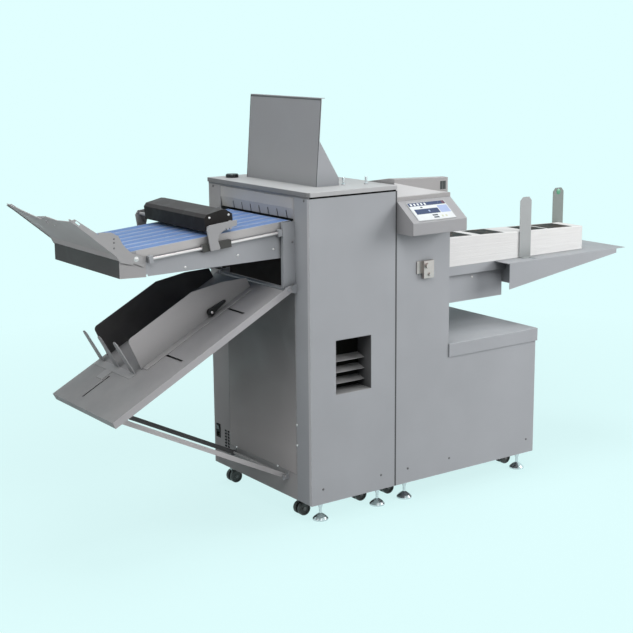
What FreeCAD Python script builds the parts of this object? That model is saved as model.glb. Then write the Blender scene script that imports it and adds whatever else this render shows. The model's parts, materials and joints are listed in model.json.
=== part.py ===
import FreeCAD, Part
import os
import Sketcher
from FreeCAD import Placement, Rotation, Vector

# Floor-standing paper folding machine: a folding tower, an L-shaped feeder cabinet,
# a belt delivery with a press-roller carriage, a lower catch tray and a feed table.
# Lengths are in millimetres and angles in degrees. X runs from delivery to feed,
# Y from the operator's side to the back, Z up from the floor.

doc = FreeCAD.newDocument("paper_folding_machine")
dims = doc.addObject("Spreadsheet::Sheet", "d")
VALUES = {}

DRIVING = [
    # overall frame and fits
    ("sheet_t", 2), ("gap", 0.5), ("run_fit", 0.05), ("console_front_y", -90),
    ("catch_tip_x", -803),
    # folding tower
    ("tower_l", 363), ("tower_w", 630), ("skirt_z", 84), ("body_top", 1140), ("lid_top", 1160),
    ("lid_low", 1145), ("lid_over", 5), ("wrap_y", 84), ("door_y0", 88), ("door_y1", 520),
    ("door_z0", 176), ("seam_z", 818), ("exit_y0", 92), ("exit_y1", 550), ("exit_z0", 1000),
    ("exit_z1", 1137), ("vent_x0", 105), ("vent_x1", 257), ("vent_z0", 462), ("vent_z1", 652),
    ("vent_depth", 45), ("slat_pitch", 43), ("slat_rise", 34), ("pass_z0", 985), ("pass_z1", 1075),
    ("frame_y0", 76), ("frame_z0", 700), ("frame_top", 1138),
    ("post", 25),
    # rollers and blade inside the tower
    ("fold_x", 62), ("fold_low_z", 1040), ("fold_r", 18), ("shaft_r", 6), ("blade_x", 200),
    ("blade_z", 1062),
    # lid fittings
    ("stand_foot_x", 115), ("stand_lean", 23), ("stand_top", 1456), ("stand_y0", 118),
    ("stand_y1", 552), ("gusset_l", 93), ("gusset_h", 155), ("knob_x", 62),
    ("knob_r", 23), ("knob_h", 13), ("screw_a_x", 224), ("screw_a_y", 113),
    ("screw_b_y", 88), ("screw_r", 4.5), ("screw_h", 27),
    # exit flap
    ("flap_bend_z", 1104), ("flap_low_z", 1066), ("flap_in", 16), ("flap_pin_x", 5),
    ("flap_pin_z", 1130), ("slot_pitch", 55.3),
    ("slot_first_y", 138), ("slot_w", 4), ("slot_top_z", 1087),
    # mains inlet and switch
    ("inlet_w", 28), ("inlet_z0", 186), ("inlet_h", 52),
    ("inlet_depth", 22), ("rocker_z", 225),
    # belt delivery
    ("deck_x", -18), ("deck_z", 1059), ("deck_tilt", 4.38), ("deck_len", 590), ("conv_y0", 104),
    ("conv_y1", 543.5), ("side_t", 2.5), ("belt_t", 2.5), ("belt_w", 50), ("belt_pitch", 55.3),
    ("belt_y0", 108), ("roll_r", 15.5), ("roll_a", -22), ("roll_b", -562), ("rod_r", 5),
    ("roll_end", 2), ("spindle_in", 1.5), ("pin_in", 1), ("rod_drop", 33), ("rod_y0", 95.5),
    ("rod_y1", 552), ("rod_a", -520), ("rod_b", -20),
    ("cap_x0", -643), ("cap_x1", -551), ("cap_y1", 566), ("cap_z0", 934), ("cap_z1", 990),
    ("bracket_x", -47), ("bracket_y", 84), ("bracket_z0", 838), ("bracket_z1", 1058),
    # press roller carriage, on the deck's own axes
    ("nip_x", -266), ("nip_y0", 110), ("nip_y1", 512), ("nip_r", 20), ("nip_gap", 0.5),
    ("nip_shaft_r", 5), ("block_l", 107), ("block_x", -338),
    # catch tray
    ("catch_piv_x", -586), ("catch_piv_z", 991), ("catch_foot_x", -655), ("catch_foot_z", 1010),
    ("catch_tilt", 39.8), ("catch_rise", 158), ("catch_y0", 97.5), ("catch_y1", 570.5),
    # lower tray
    ("tray_x", -57), ("tray_z", 833), ("tray_tilt", 27.79), ("tray_len", 731), ("tray_y0", 70),
    ("tray_y1", 505), ("tray_lip", 24), ("tray_pin_s", 18), ("tray_pin_n", -10), ("tray_pin_r", 5),
    ("link_n", -35),
    ("guide_h", 116), ("guide_near_y", 245), ("guide_far_y", 486), ("guide_foot", 28),
    ("lever_x", -198), ("lever_z", 18), ("lever_l", 66), ("lever_r", 12),
    ("stop_h", 131), ("finger_w", 34), ("finger_pitch", 82), ("finger_y0", 251),
    # strut under the tray
    ("strut_foot_x", -14), ("strut_foot_z", 160),
    ("strut_y0", 143), ("strut_y1", 473), ("strut_t", 6), ("strut_h", 20), ("hook_t", 5),
    ("foot_rod_r", 4),
    # feeder cabinet
    ("column_top", 1103),
    ("cabinet_top", 521), ("lid2_top", 570), ("lid2_over", 5),
    ("throat_y0", 150), ("throat_y1", 480), ("throat_z0", 573), ("throat_z1", 1000),
    ("rail_l", 20), ("bridge_h", 62), ("cover_t", 14),
    # console
    ("console_low", 993), ("console_edge", 1036), ("screen_t", 3), ("slope_tilt", 36.67),
    ("latch_z", 850),
    # feed table
    ("table_top", 812), ("table_y0", 162),
    ("table_y1", 466), ("table_lip", 35), ("box_low", 670), ("box_in", 20), ("ext_y0", 84),
    ("ext_y1", 544),
    ("ext_low", 711), ("ext_low_end", 793), ("guide_top", 1045), ("guide_w", 59),
    ("side_near_y", 156), ("side_far_y", 294.5),
    ("stack_y0", 160), ("stack_y1", 292), ("stack_z_feed", 930),
    ("stack_z_tail", 904), ("drum_z", 972), ("drum_r", 32),
    # castors and feet
    ("wheel_r", 24), ("wheel_w", 16), ("hub_gap", 5), ("lift", 2), ("axle_r", 4), ("trail", 16),
    ("foot_r", 28), ("foot_y", 70), ("stud_r", 5), ("castor_y0", 147),
]

DERIVED = [
    ("inlet_y", "=tower_w - 28"),
    ("frame_y1", "=tower_w - 60"),
    ("castor_y1", "=tower_w - 35"),
    ("knob_y", "=tower_w - 62"),
    ("feeder_x0", "=tower_l + 4"),
    ("column_x1", "=feeder_x0 + 242"),
    ("cabinet_x1", "=column_x1 + 436"),
    ("rail_x", "=feeder_x0 + 5"),
    ("latch_x", "=feeder_x0 + 133"),
    ("drum_x", "=column_x1 - 69"),
    ("table_x0", "=column_x1 - 139"),
    ("table_x1", "=cabinet_x1 - 8"),
    ("ext_x0", "=cabinet_x1 - 68"),
    ("ext_web_x0", "=cabinet_x1 - 60"),
    ("ext_web_x1", "=cabinet_x1 + 525"),
    ("side_near_x", "=cabinet_x1 + 57"),
    ("side_far_x", "=cabinet_x1 + 373"),
    ("stack_x1", "=cabinet_x1 + 407"),
    ("link_s", "=36 - tray_len"),
    ("stop_x", "=198 - tray_len"),
    ("feed_tip_x", "=cabinet_x1 + 573"),
    ("screw_b_x", "=tower_l - 61"),
    ("x_mid", "=(feed_tip_x + catch_tip_x) / 2"),
    ("y_mid", "=(console_front_y + tower_w) / 2"),
    ("catch_reach", "=(catch_foot_x - catch_tip_x) / cos(catch_tilt)"),
    ("link_x", "=tray_x + link_s * cos(tray_tilt) - link_n * sin(tray_tilt)"),
    ("link_z", "=tray_z + link_s * sin(tray_tilt) + link_n * cos(tray_tilt)"),
    ("strut_len", "=sqrt((strut_foot_x - link_x) ^ 2 + (link_z - strut_foot_z) ^ 2)"),
    ("strut_tilt", "=asin((link_z - strut_foot_z) / strut_len) / 1deg"),
]


def fill_sheet():
    """Write every driving dimension into the sheet and keep its number for first guesses."""
    for row, (alias, value) in enumerate(DRIVING + DERIVED, start=1):
        dims.set("A%d" % row, alias)
        dims.set("B%d" % row, str(value))
        dims.setAlias("B%d" % row, alias)
    doc.recompute()
    for alias, _ in DRIVING + DERIVED:
        VALUES[alias] = float(getattr(dims, alias))


def expr(text):
    """Turn a formula in plain aliases into one that names the sheet."""
    words = []
    word = ""
    for char in str(text) + " ":
        if char.isalnum() or char in "_.":
            word += char
            continue
        words.append("d." + word if word in VALUES else word)
        words.append(char)
        word = ""
    return "".join(words).strip()


def number(text):
    """Value of a formula in plain aliases, used only to draw a sketch near its solution."""
    bare = doc.getObject("d").evalExpression(expr(text)) if text else 0
    return float(getattr(bare, "Value", bare))


def bind(obj, prop, text):
    """Drive one property from the sheet."""
    obj.setExpression(prop, expr(text))


def move(obj, x=0, y=0, z=0):
    """Place a finished part: machine coordinates less the middle of the machine."""
    bind(obj, "Placement.Base.x", "%s - x_mid" % x)
    bind(obj, "Placement.Base.y", "%s - y_mid" % y)
    bind(obj, "Placement.Base.z", str(z))
    return obj


def tilt(obj, angle, x, z, y=0):
    """Place a part drawn on tilted axes: turned nose-up about Y, then moved."""
    obj.Placement = Placement(Vector(0, 0, 0), Rotation(Vector(0, -1, 0), 1))
    bind(obj, "Placement.Rotation.Angle", angle)
    return move(obj, x, y, z)


def block(name, low, size):
    """Rectangular block from its low corner and its three edges."""
    solid = doc.addObject("Part::Box", name)
    for prop, text in zip(("Length", "Width", "Height"), size):
        bind(solid, prop, text)
    for axis, text in zip("xyz", low):
        bind(solid, "Placement.Base." + axis, text)
    return solid


TURNS = {"z": Rotation(), "y": Rotation(Vector(1, 0, 0), -90), "x": Rotation(Vector(0, 1, 0), 90)}


def rod(name, low, radius, length, axis="y"):
    """Round bar along one axis from the middle of its low end."""
    solid = doc.addObject("Part::Cylinder", name)
    solid.Placement = Placement(Vector(0, 0, 0), TURNS[axis])
    bind(solid, "Radius", radius)
    bind(solid, "Height", length)
    for letter, text in zip("xyz", low):
        bind(solid, "Placement.Base." + letter, text)
    return solid


def join(name, parts):
    """Weld several solids into one."""
    whole = doc.addObject("Part::MultiFuse", name)
    whole.Shapes = parts
    whole.Refine = True
    return whole


def carve(name, base, tools):
    """Take one or more solids out of a base."""
    tool = tools[0]
    if len(tools) > 1:
        tool = doc.addObject("Part::MultiFuse", name + "_tools")
        tool.Shapes = tools
    result = doc.addObject("Part::Cut", name)
    result.Base = base
    result.Tool = tool
    result.Refine = True
    return result


ROLES = {"xz": "XZ_Plane", "xy": "XY_Plane", "yz": "YZ_Plane"}


def draw(body, name, plane, loops):
    """Sketch closed polygons whose every corner is held by two driven distances."""
    sketch = body.newObject("Sketcher::SketchObject", name)
    origin = [f for f in body.Origin.OriginFeatures if f.Role == ROLES[plane]][0]
    sketch.AttachmentSupport = (origin, [""])
    sketch.MapMode = "FlatFace"
    for corners in loops:
        first = len(sketch.Geometry)
        spots = [Vector(number(a), number(b), 0) for a, b in corners]
        count = len(spots)
        for i in range(count):
            sketch.addGeometry(Part.LineSegment(spots[i], spots[(i + 1) % count]), False)
        for i in range(count):
            here, after = first + i, first + (i + 1) % count
            sketch.addConstraint(Sketcher.Constraint("Coincident", here, 2, after, 1))
            for kind, text, value in (("DistanceX", corners[i][0], spots[i].x),
                                      ("DistanceY", corners[i][1], spots[i].y)):
                index = sketch.addConstraint(Sketcher.Constraint(kind, -1, 1, here, 1, value))
                sketch.setExpression("Constraints[%d]" % index, expr(text))
    return sketch


def plate(name, plane, corners, low, depth, holes=()):
    """Body padded from a polygon, starting at `low` along the plane's normal axis."""
    body = doc.addObject("PartDesign::Body", name)
    sketch = draw(body, name + "_sketch", plane, [corners] + list(holes))
    pad = body.newObject("PartDesign::Pad", name + "_pad")
    pad.Profile = sketch
    pad.Reversed = plane == "xz"
    bind(pad, "Length", depth)
    sketch.Visibility = False
    body.Tip = pad
    axis = {"xz": "y", "xy": "z", "yz": "x"}[plane]
    bind(body, "Placement.Base." + axis, low)
    return body


def soften(body, name, size, keep):
    """Round the edges of a body's tip that `keep` accepts."""
    doc.recompute()
    base = body.Tip
    names = ["Edge%d" % (i + 1) for i, e in enumerate(base.Shape.Edges) if keep(e)]
    fillet = body.newObject("PartDesign::Fillet", name)
    fillet.Base = (base, names)
    bind(fillet, "Radius", size)
    body.Tip = fillet
    return body


def along(edge, axis):
    """True when a straight edge runs along one axis."""
    ends = [v.Point for v in edge.Vertexes]
    if len(ends) != 2:
        return False
    span = ends[1] - ends[0]
    return abs(getattr(span, axis)) > 0.999 * span.Length


PARTS = []


def finish(obj, name):
    """Label a finished sub-part and note it for export."""
    obj.Label = name
    PARTS.append((name, obj))
    return obj


# ---------------------------------------------------------------- folding tower

def tower_chassis():
    """Floor pan, four corner posts, two inner side frames that carry the rollers."""
    inset = "sheet_t + gap"
    pieces = [block("pan", ["sheet_t", "sheet_t", "skirt_z"],
                    ["tower_l - 2 * sheet_t", "tower_w - 2 * sheet_t", "4"])]
    spots = [(x, y) for x in (inset, "tower_l - sheet_t - gap - post")
             for y in (inset, "tower_w - sheet_t - gap - post")]
    for i, (x, y) in enumerate(spots):
        pieces.append(block("post_%d" % i, [x, y, "skirt_z + 4"],
                            ["post", "post", "lid_top - 3 - gap - skirt_z - 4"]))
    for i, y in enumerate(("frame_y0", "frame_y1 - 5")):
        pieces.append(block("side_frame_%d" % i, [inset, y, "frame_z0"],
                            ["tower_l - 2 * (sheet_t + gap)", "5", "frame_top - frame_z0"]))
    for i, (x, z) in enumerate((("40", "frame_z0 + 20"), ("300", "frame_z0 + 20"),
                                ("180", "880"))):
        pieces.append(block("tie_%d" % i, [x, "sheet_t + 4", z], ["24", "tower_w - 12", "24"]))
    for i, y in enumerate(("sheet_t + gap + post - 5", "tower_w - sheet_t - gap - post - 25")):
        pieces.append(block("rib_%d" % i, [inset, y, "frame_z0"],
                            ["tower_l - 2 * (sheet_t + gap)", "30", "24"]))
    pieces.append(rod("flap_rod", ["flap_pin_x", "frame_y0", "flap_pin_z"], "2",
                      "frame_y1 - frame_y0"))
    for i, y in enumerate(("200", "480")):
        pieces.append(block("dock_%d" % i, ["tower_l - 30", y, "skirt_z - 6"],
                            ["60", "30", "6"]))
    whole = join("chassis_solid", pieces)
    bores = []
    for i, (x, z) in enumerate((("fold_x", "fold_low_z"),
                                ("fold_x", "fold_low_z + 2 * fold_r + 0.6"))):
        bores.append(rod("shaft_bore_%d" % i, [x, "frame_y0 - 1", z], "shaft_r + run_fit",
                         "frame_y1 - frame_y0 + 2"))
    bores.append(block("blade_slots", ["blade_x - 4.4", "frame_y0 - 1", "blade_z - 12"],
                       ["8.8", "frame_y1 - frame_y0 + 2", "62"]))
    bores.append(block("inlet_clearance", ["0", "inlet_y - inlet_w / 2 - gap", "inlet_z0 - gap"],
                       ["inlet_depth - 2 + gap", "inlet_w + 2 * gap", "inlet_h + 2 * gap"]))
    return finish(move(carve("chassis", whole, bores)), "tower_chassis")


def tower_front_panel():
    """Front cover folded round both corners, with the louvre opening."""
    cover = block("front_plate", ["0", "0", "skirt_z"],
                  ["tower_l", "sheet_t", "body_top - skirt_z"])
    left = block("front_left", ["0", "sheet_t", "skirt_z"],
                 ["sheet_t", "wrap_y - sheet_t", "body_top - skirt_z"])
    right = block("front_right", ["tower_l - sheet_t", "sheet_t", "skirt_z"],
                  ["sheet_t", "wrap_y - sheet_t", "body_top - skirt_z"])
    opening = block("front_opening", ["vent_x0", "-1", "vent_z0"],
                    ["vent_x1 - vent_x0", "sheet_t + 2", "vent_z1 - vent_z0"])
    folded = join("front_folded", [cover, left, right])
    return finish(move(carve("front_panel", folded, [opening])), "tower_front_panel")


def vent_louvre():
    """Recessed louvre: a pan behind the front opening with three raked slats."""
    pan = block("vent_pan", ["vent_x0", "0", "vent_z0"],
                ["vent_x1 - vent_x0", "vent_depth", "vent_z1 - vent_z0"])
    room = block("vent_room", ["vent_x0 + 2", "-1", "vent_z0 + 2"],
                 ["vent_x1 - vent_x0 - 4", "vent_depth - 1", "vent_z1 - vent_z0 - 4"])
    pieces = [carve("vent_tray", pan, [room])]
    for i in range(3):
        top = "vent_z0 + 48 + %d * slat_pitch" % i
        corners = [("2", top + " - slat_rise"), ("3.5", top + " - slat_rise"),
                   ("24", top), ("22.5", top)]
        pieces.append(plate("slat_%d" % i, "yz", corners, "vent_x0 + 1", "vent_x1 - vent_x0 - 2"))
    return finish(move(join("louvre", pieces)), "vent_louvre")


def tower_wrap():
    """Left, back and right walls folded from one sheet, with all their openings."""
    left = block("left_wall", ["0", "wrap_y + gap", "skirt_z"],
                 ["sheet_t", "tower_w - wrap_y - gap", "body_top - skirt_z"])
    back = block("back_wall", ["0", "tower_w - sheet_t", "skirt_z"],
                 ["tower_l", "sheet_t", "body_top - skirt_z"])
    right = block("right_wall", ["tower_l - sheet_t", "wrap_y + gap", "skirt_z"],
                  ["sheet_t", "tower_w - wrap_y - gap", "body_top - skirt_z"])
    cuts = [block("exit_cut", ["-1", "exit_y0", "exit_z0"],
                  ["sheet_t + 2", "exit_y1 - exit_y0", "exit_z1 - exit_z0"]),
            block("door_cut", ["-1", "door_y0", "door_z0"],
                  ["sheet_t + 2", "door_y1 - door_y0", "seam_z - door_z0"]),
            block("inlet_cut", ["-1", "inlet_y - inlet_w / 2", "inlet_z0"],
                  ["sheet_t + 2", "inlet_w", "inlet_h"]),
            block("seam_groove", ["-1", "wrap_y", "seam_z + 4"],
                  ["1.8", "tower_w - wrap_y - 10", "3"]),
            block("transfer_cut", ["tower_l - sheet_t - 1", "exit_y0 + 8", "pass_z0"],
                  ["sheet_t + 2", "exit_y1 - exit_y0 - 16", "pass_z1 - pass_z0"])]
    for column in range(2):
        for slot in range(6):
            cuts.append(block("vent_slot_%d_%d" % (column, slot),
                              ["-1", "%d" % (530 + 14 * column), "%d" % (152 + 12 * slot)],
                              ["sheet_t + 2", "9", "5"]))
    for slot in range(8):
        cuts.append(block("fan_slot_%d" % slot, ["110", "tower_w - 3", "%d" % (300 + 16 * slot)],
                          ["140", "5", "7"]))
    folded = join("wrap_folded", [left, back, right])
    return finish(move(carve("wrap", folded, cuts)), "tower_wrap")


def service_panel():
    """Screwed service panel in the left wall, stiffened by a folded edge behind it."""
    face = block("door_face", ["0", "door_y0 + 1", "door_z0 + 1"],
                 ["sheet_t", "door_y1 - door_y0 - 2", "seam_z - door_z0 - 2"])
    frame = block("door_fold", ["sheet_t", "door_y0 - 6", "door_z0 - 6"],
                  ["2", "door_y1 - door_y0 + 12", "seam_z - door_z0 + 12"])
    hollow = block("door_hollow", ["sheet_t - 1", "door_y0 + 16", "door_z0 + 16"],
                   ["5", "door_y1 - door_y0 - 32", "seam_z - door_z0 - 32"])
    ring = carve("door_ring", frame, [hollow])
    return finish(move(join("door", [face, ring])), "service_panel")


def top_lid():
    """Shallow lid with a chamfered operator corner and bores for its fittings."""
    low, over = "lid_low", "lid_over"
    body = doc.addObject("PartDesign::Body", "lid_body")
    corners = [("-%s + 7" % over, "-4"), ("tower_l + 2.5", "-4"), ("tower_l + 2.5", "tower_w"),
               ("-%s" % over, "tower_w"), ("-%s" % over, "7")]
    sketch = draw(body, "lid_sketch", "xy", [corners])
    pad = body.newObject("PartDesign::Pad", "lid_pad")
    pad.Profile = sketch
    bind(pad, "Length", "lid_top - lid_low")
    inner = draw(body, "lid_room_sketch", "xy",
                 [[("1", "-2"), ("tower_l + 0.5", "-2"), ("tower_l + 0.5", "tower_w - sheet_t"),
                   ("2 - lid_over", "tower_w - sheet_t"), ("2 - lid_over", "8")]])
    room = body.newObject("PartDesign::Pocket", "lid_room")
    room.Profile = inner
    bind(room, "Length", "lid_top - lid_low - 3")
    room.Reversed = True
    body.Tip = room
    bind(body, "Placement.Base.z", low)
    soften(body, "lid_rounding", "2", lambda e: abs(e.CenterOfMass.z - (VALUES["lid_top"]
           - VALUES["lid_low"])) < 0.01)
    bores = [rod("knob_bore", ["knob_x", "knob_y", "lid_top - 4"], "6 + run_fit", "6", "z"),
             rod("screw_a_bore", ["screw_a_x", "screw_a_y", "lid_top - 4"], "3 + run_fit", "6", "z"),
             rod("screw_b_bore", ["screw_b_x", "screw_b_y", "lid_top - 4"], "3 + run_fit", "6", "z")]
    return finish(move(carve("lid", body, bores)), "top_lid")


def sheet_stand():
    """Leaning sheet rest on the lid: folded plate, top flange and two gussets."""
    foot, top = "stand_foot_x", "stand_foot_x + stand_lean"
    leaf = plate("stand_leaf", "xz",
                 [(foot, "lid_top"), (foot + " + 2", "lid_top"), (top + " + 2", "stand_top"),
                  (top, "stand_top")], "stand_y0", "stand_y1 - stand_y0")
    flange = block("stand_flange", [top, "stand_y0", "stand_top - 2"],
                   ["14", "stand_y1 - stand_y0", "2"])
    sole = block("stand_sole", [foot, "stand_y0", "lid_top"],
                 ["22", "stand_y1 - stand_y0", "2"])
    pieces = [leaf, flange, sole]
    lean = "stand_lean * gusset_h / (stand_top - lid_top)"
    for i, y in enumerate(("stand_y0", "stand_y1 - 2")):
        corners = [(foot + " + 1", "lid_top"), (foot + " + gusset_l", "lid_top"),
                   (foot + " + gusset_l", "lid_top + 25"),
                   (foot + " + 1 + " + lean, "lid_top + gusset_h")]
        pieces.append(plate("gusset_%d" % i, "xz", corners, y, "2"))
    return finish(move(join("stand", pieces)), "sheet_stand")


def lid_knob():
    """Low adjusting knob: ribbed round head on a stub that turns in the lid."""
    body = doc.addObject("PartDesign::Body", "knob_body")
    profile = draw(body, "knob_profile", "xz",
                   [[("0", "-6"), ("6", "-6"), ("6", "gap"), ("knob_r", "gap"),
                     ("knob_r", "knob_h - 3"), ("knob_r - 3", "knob_h"), ("0", "knob_h")]])
    turn = body.newObject("PartDesign::Revolution", "knob_turn")
    turn.Profile = profile
    turn.ReferenceAxis = (profile, ["V_Axis"])
    turn.Angle = 360
    body.Tip = turn
    notch_sketch = draw(body, "notch_sketch", "xy",
                        [[("knob_r - 3", "-2"), ("knob_r + 2", "-2"), ("knob_r + 2", "2"),
                          ("knob_r - 3", "2")]])
    notch = body.newObject("PartDesign::Pocket", "knob_notch")
    notch.Profile = notch_sketch
    notch.Length = 30
    notch.Reversed = True
    body.Tip = notch
    ring = body.newObject("PartDesign::PolarPattern", "knob_notches")
    ring.Originals = [notch]
    ring.Axis = (notch_sketch, ["N_Axis"])
    ring.Angle = 360
    ring.Occurrences = 10
    body.Tip = ring
    return finish(move(body, "knob_x", "knob_y", "lid_top"), "lid_knob")


def thumb_screw(name, x, y):
    """Tall knurled screw: stub in the lid, dark-seated collar and a slim head."""
    body = doc.addObject("PartDesign::Body", name + "_body")
    profile = draw(body, name + "_profile", "xz",
                   [[("0", "-6"), ("3", "-6"), ("3", "gap"), ("7", "gap"), ("7", "5"),
                     ("screw_r - 1", "7"), ("screw_r - 1", "screw_h - 13"),
                     ("screw_r", "screw_h - 12"), ("screw_r", "screw_h - 1"),
                     ("screw_r - 1", "screw_h"), ("0", "screw_h")]])
    turn = body.newObject("PartDesign::Revolution", name + "_turn")
    turn.Profile = profile
    turn.ReferenceAxis = (profile, ["V_Axis"])
    turn.Angle = 360
    body.Tip = turn
    return finish(move(body, x, y, "lid_top"), name)


def exit_flap():
    """Delivery flap hung on the pivot rod: lower edge bent inwards, with seven slots."""
    top = "exit_z1 - 3"
    corners = [("0", top), ("0", "flap_bend_z"), ("flap_in", "flap_low_z"),
               ("flap_in + 2", "flap_low_z"), ("2", "flap_bend_z + 1"), ("2", top)]
    ear = [("1", "flap_pin_z - 5"), ("1", "flap_pin_z + 4"), ("flap_pin_x + 4", "flap_pin_z + 4"),
           ("flap_pin_x + 4", "flap_pin_z - 4"), ("6", "flap_pin_z - 5")]
    pieces = [plate("flap_leaf", "xz", corners, "exit_y0 + 1", "exit_y1 - exit_y0 - 2")]
    for i, y in enumerate(("exit_y0 + 1", "(exit_y0 + exit_y1) / 2", "exit_y1 - 4")):
        pieces.append(plate("flap_ear_%d" % i, "xz", ear, y, "3"))
    cuts = [block("flap_slot_%d" % i,
                  ["-2", "slot_first_y + %d * slot_pitch - slot_w / 2" % i, "flap_low_z - 2"],
                  ["flap_in + 8", "slot_w", "slot_top_z - flap_low_z + 2"]) for i in range(7)]
    cuts.append(rod("flap_bore", ["flap_pin_x", "exit_y0", "flap_pin_z"], "2 + run_fit",
                    "exit_y1 - exit_y0"))
    return finish(move(carve("flap", join("flap_solid", pieces), cuts)), "exit_flap")


def plain_roller(name, x, z, radius, y0, y1, stub, length0, length1):
    """Roller with a thinner stub at each end that runs in the side frames."""
    drum = rod(name + "_drum", [x, y0, z], radius, "%s - (%s)" % (y1, y0))
    spindle = rod(name + "_spindle", [x, length0, z], stub, "%s - (%s)" % (length1, length0))
    return finish(move(join(name + "_solid", [drum, spindle])), name)


def fold_rollers():
    """Pair of fold rollers between the tower's side frames."""
    low, high = "frame_y0 + 12", "frame_y1 - 12"
    for name, x, z in (("fold_roller_low", "fold_x", "fold_low_z"),
                       ("fold_roller_high", "fold_x", "fold_low_z + 2 * fold_r + 0.6")):
        plain_roller(name, x, z, "fold_r", low, high, "shaft_r", "frame_y0", "frame_y1")


def crease_blade():
    """Creasing blade on its bar, guided by slots in both side frames."""
    bar = block("blade_bar", ["blade_x - 4", "frame_y0", "blade_z"],
                ["8", "frame_y1 - frame_y0", "26"])
    lug = block("blade_lug", ["blade_x - 10", "frame_y0 + 8", "blade_z + 6"],
                ["20", "frame_y1 - frame_y0 - 16", "14"])
    edge = plate("blade_edge", "xz", [("blade_x - 0.6", "blade_z - 10"),
                                      ("blade_x + 0.6", "blade_z - 10"),
                                      ("blade_x + 2", "blade_z"), ("blade_x - 2", "blade_z")],
                 "frame_y0 + 10", "frame_y1 - frame_y0 - 20")
    return finish(move(join("blade", [bar, lug, edge])), "crease_blade")


def mains_inlet():
    """Mains inlet moulding with a socket recess and a pocket for the switch."""
    shell = block("inlet_shell", ["-2", "inlet_y - inlet_w / 2", "inlet_z0"],
                  ["inlet_depth", "inlet_w", "inlet_h"])
    socket = block("socket_room", ["-3", "inlet_y - 9", "inlet_z0 + 5"], ["17", "18", "16"])
    pocket = block("switch_room", ["-3", "inlet_y - 8 - gap", "rocker_z - 9 - gap"],
                   ["13", "16 + 2 * gap", "18 + 2 * gap"])
    pieces = [carve("inlet_case", shell, [socket, pocket])]
    for i, dy in enumerate(("-5", "0", "5")):
        pieces.append(block("inlet_pin_%d" % i, ["5", "inlet_y + %s - 0.8" % dy, "inlet_z0 + 11"],
                            ["10", "1.6", "4"]))
    return finish(move(join("inlet", pieces)), "mains_inlet")


def rocker_switch():
    """Rocker key: shallow vee front, turning about a level pin behind it."""
    corners = [("-4", "rocker_z"), ("-6", "rocker_z + 8"), ("3", "rocker_z + 7"),
               ("6", "rocker_z"), ("3", "rocker_z - 7"), ("-3", "rocker_z - 8")]
    return finish(move(plate("rocker_body", "xz", corners, "0", "16"), "0", "inlet_y - 8"),
                  "rocker_switch")


# ---------------------------------------------------------------- belt delivery

def lean(obj, angle, x, z):
    """Turn a piece nose-up about Y and carry it to a machine point, before welding."""
    obj.Placement = Placement(Vector(0, 0, 0), Rotation(Vector(0, -1, 0), 1))
    bind(obj, "Placement.Rotation.Angle", angle)
    bind(obj, "Placement.Base.x", x)
    bind(obj, "Placement.Base.z", z)
    return obj


def on_deck(obj, name):
    """Finish a part drawn on the deck's axes: X down the belts, Z off their surface."""
    return finish(tilt(obj, "deck_tilt", "deck_x", "deck_z"), name)


ROLL_Z = "-(belt_t + 0.3 + roll_r)"
PIN_ON_DECK = ("(catch_piv_x - deck_x) * cos(deck_tilt) + (catch_piv_z - deck_z) * sin(deck_tilt)",
               "(catch_piv_z - deck_z) * cos(deck_tilt) - (catch_piv_x - deck_x) * sin(deck_tilt)")


def delivery_frame():
    """Side plates, slide bed, cross tubes and the lugs that hold the guide rods."""
    foot = [("-deck_len - 6", "-76"), ("-533", "-81"), ("-533", "-87"), ("2", "-122")]
    near = plate("side_near", "xz", [("12", "0"), ("-deck_len", "0")] + foot, "conv_y0", "side_t")
    far = plate("side_far", "xz", [("12", "-22"), ("-deck_len", "-22")] + foot,
                "conv_y1 - side_t", "side_t")
    pieces = [near, far]
    for i, x in enumerate(("-110", "-300", "-490")):
        pieces.append(block("cross_%d" % i, [x, "conv_y0", "-72"],
                            ["20", "conv_y1 - conv_y0", "20"]))
    pieces.append(block("bed", ["roll_b + 30", "conv_y0", "-belt_t - 2"],
                        ["roll_a - roll_b - 60", "belt_y0 + 6 * belt_pitch + belt_w - conv_y0", "2"]))
    pieces.append(block("bed_fence", ["roll_b + 30", "belt_y0 + 6 * belt_pitch + belt_w + 1",
                                      "-52"], ["roll_a - roll_b - 60", "2", "50"]))
    for i, (y, width) in enumerate((("bracket_y + 2", "conv_y0 - bracket_y - 2"),
                                    ("conv_y1", "16.5"))):
        for j, x in enumerate(("rod_a - 12", "rod_b - 26.8")):
            pieces.append(block("lug_%d_%d" % (i, j), [x, y, "-rod_drop - 11"],
                                ["14", width, "22"]))
    holes = [rod("roll_bore_a", ["roll_a", "conv_y0 - 1", ROLL_Z], "5 + run_fit",
                 "conv_y1 - conv_y0 + 2"),
             rod("roll_bore_b", ["roll_b", "conv_y0 - 1", ROLL_Z], "5 + run_fit",
                 "conv_y1 - conv_y0 + 2"),
             rod("pin_bore", [PIN_ON_DECK[0], "conv_y0 - 1", PIN_ON_DECK[1]], "4 + run_fit",
                 "conv_y1 - conv_y0 + 2")]
    for i, y in enumerate(("rod_y0", "rod_y1")):
        holes.append(rod("rod_seat_%d" % i, ["rod_a - 10", y, "-rod_drop"], "rod_r",
                         "rod_b - rod_a + 20", "x"))
    return on_deck(carve("delivery", join("delivery_solid", pieces), holes), "delivery_frame")


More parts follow.
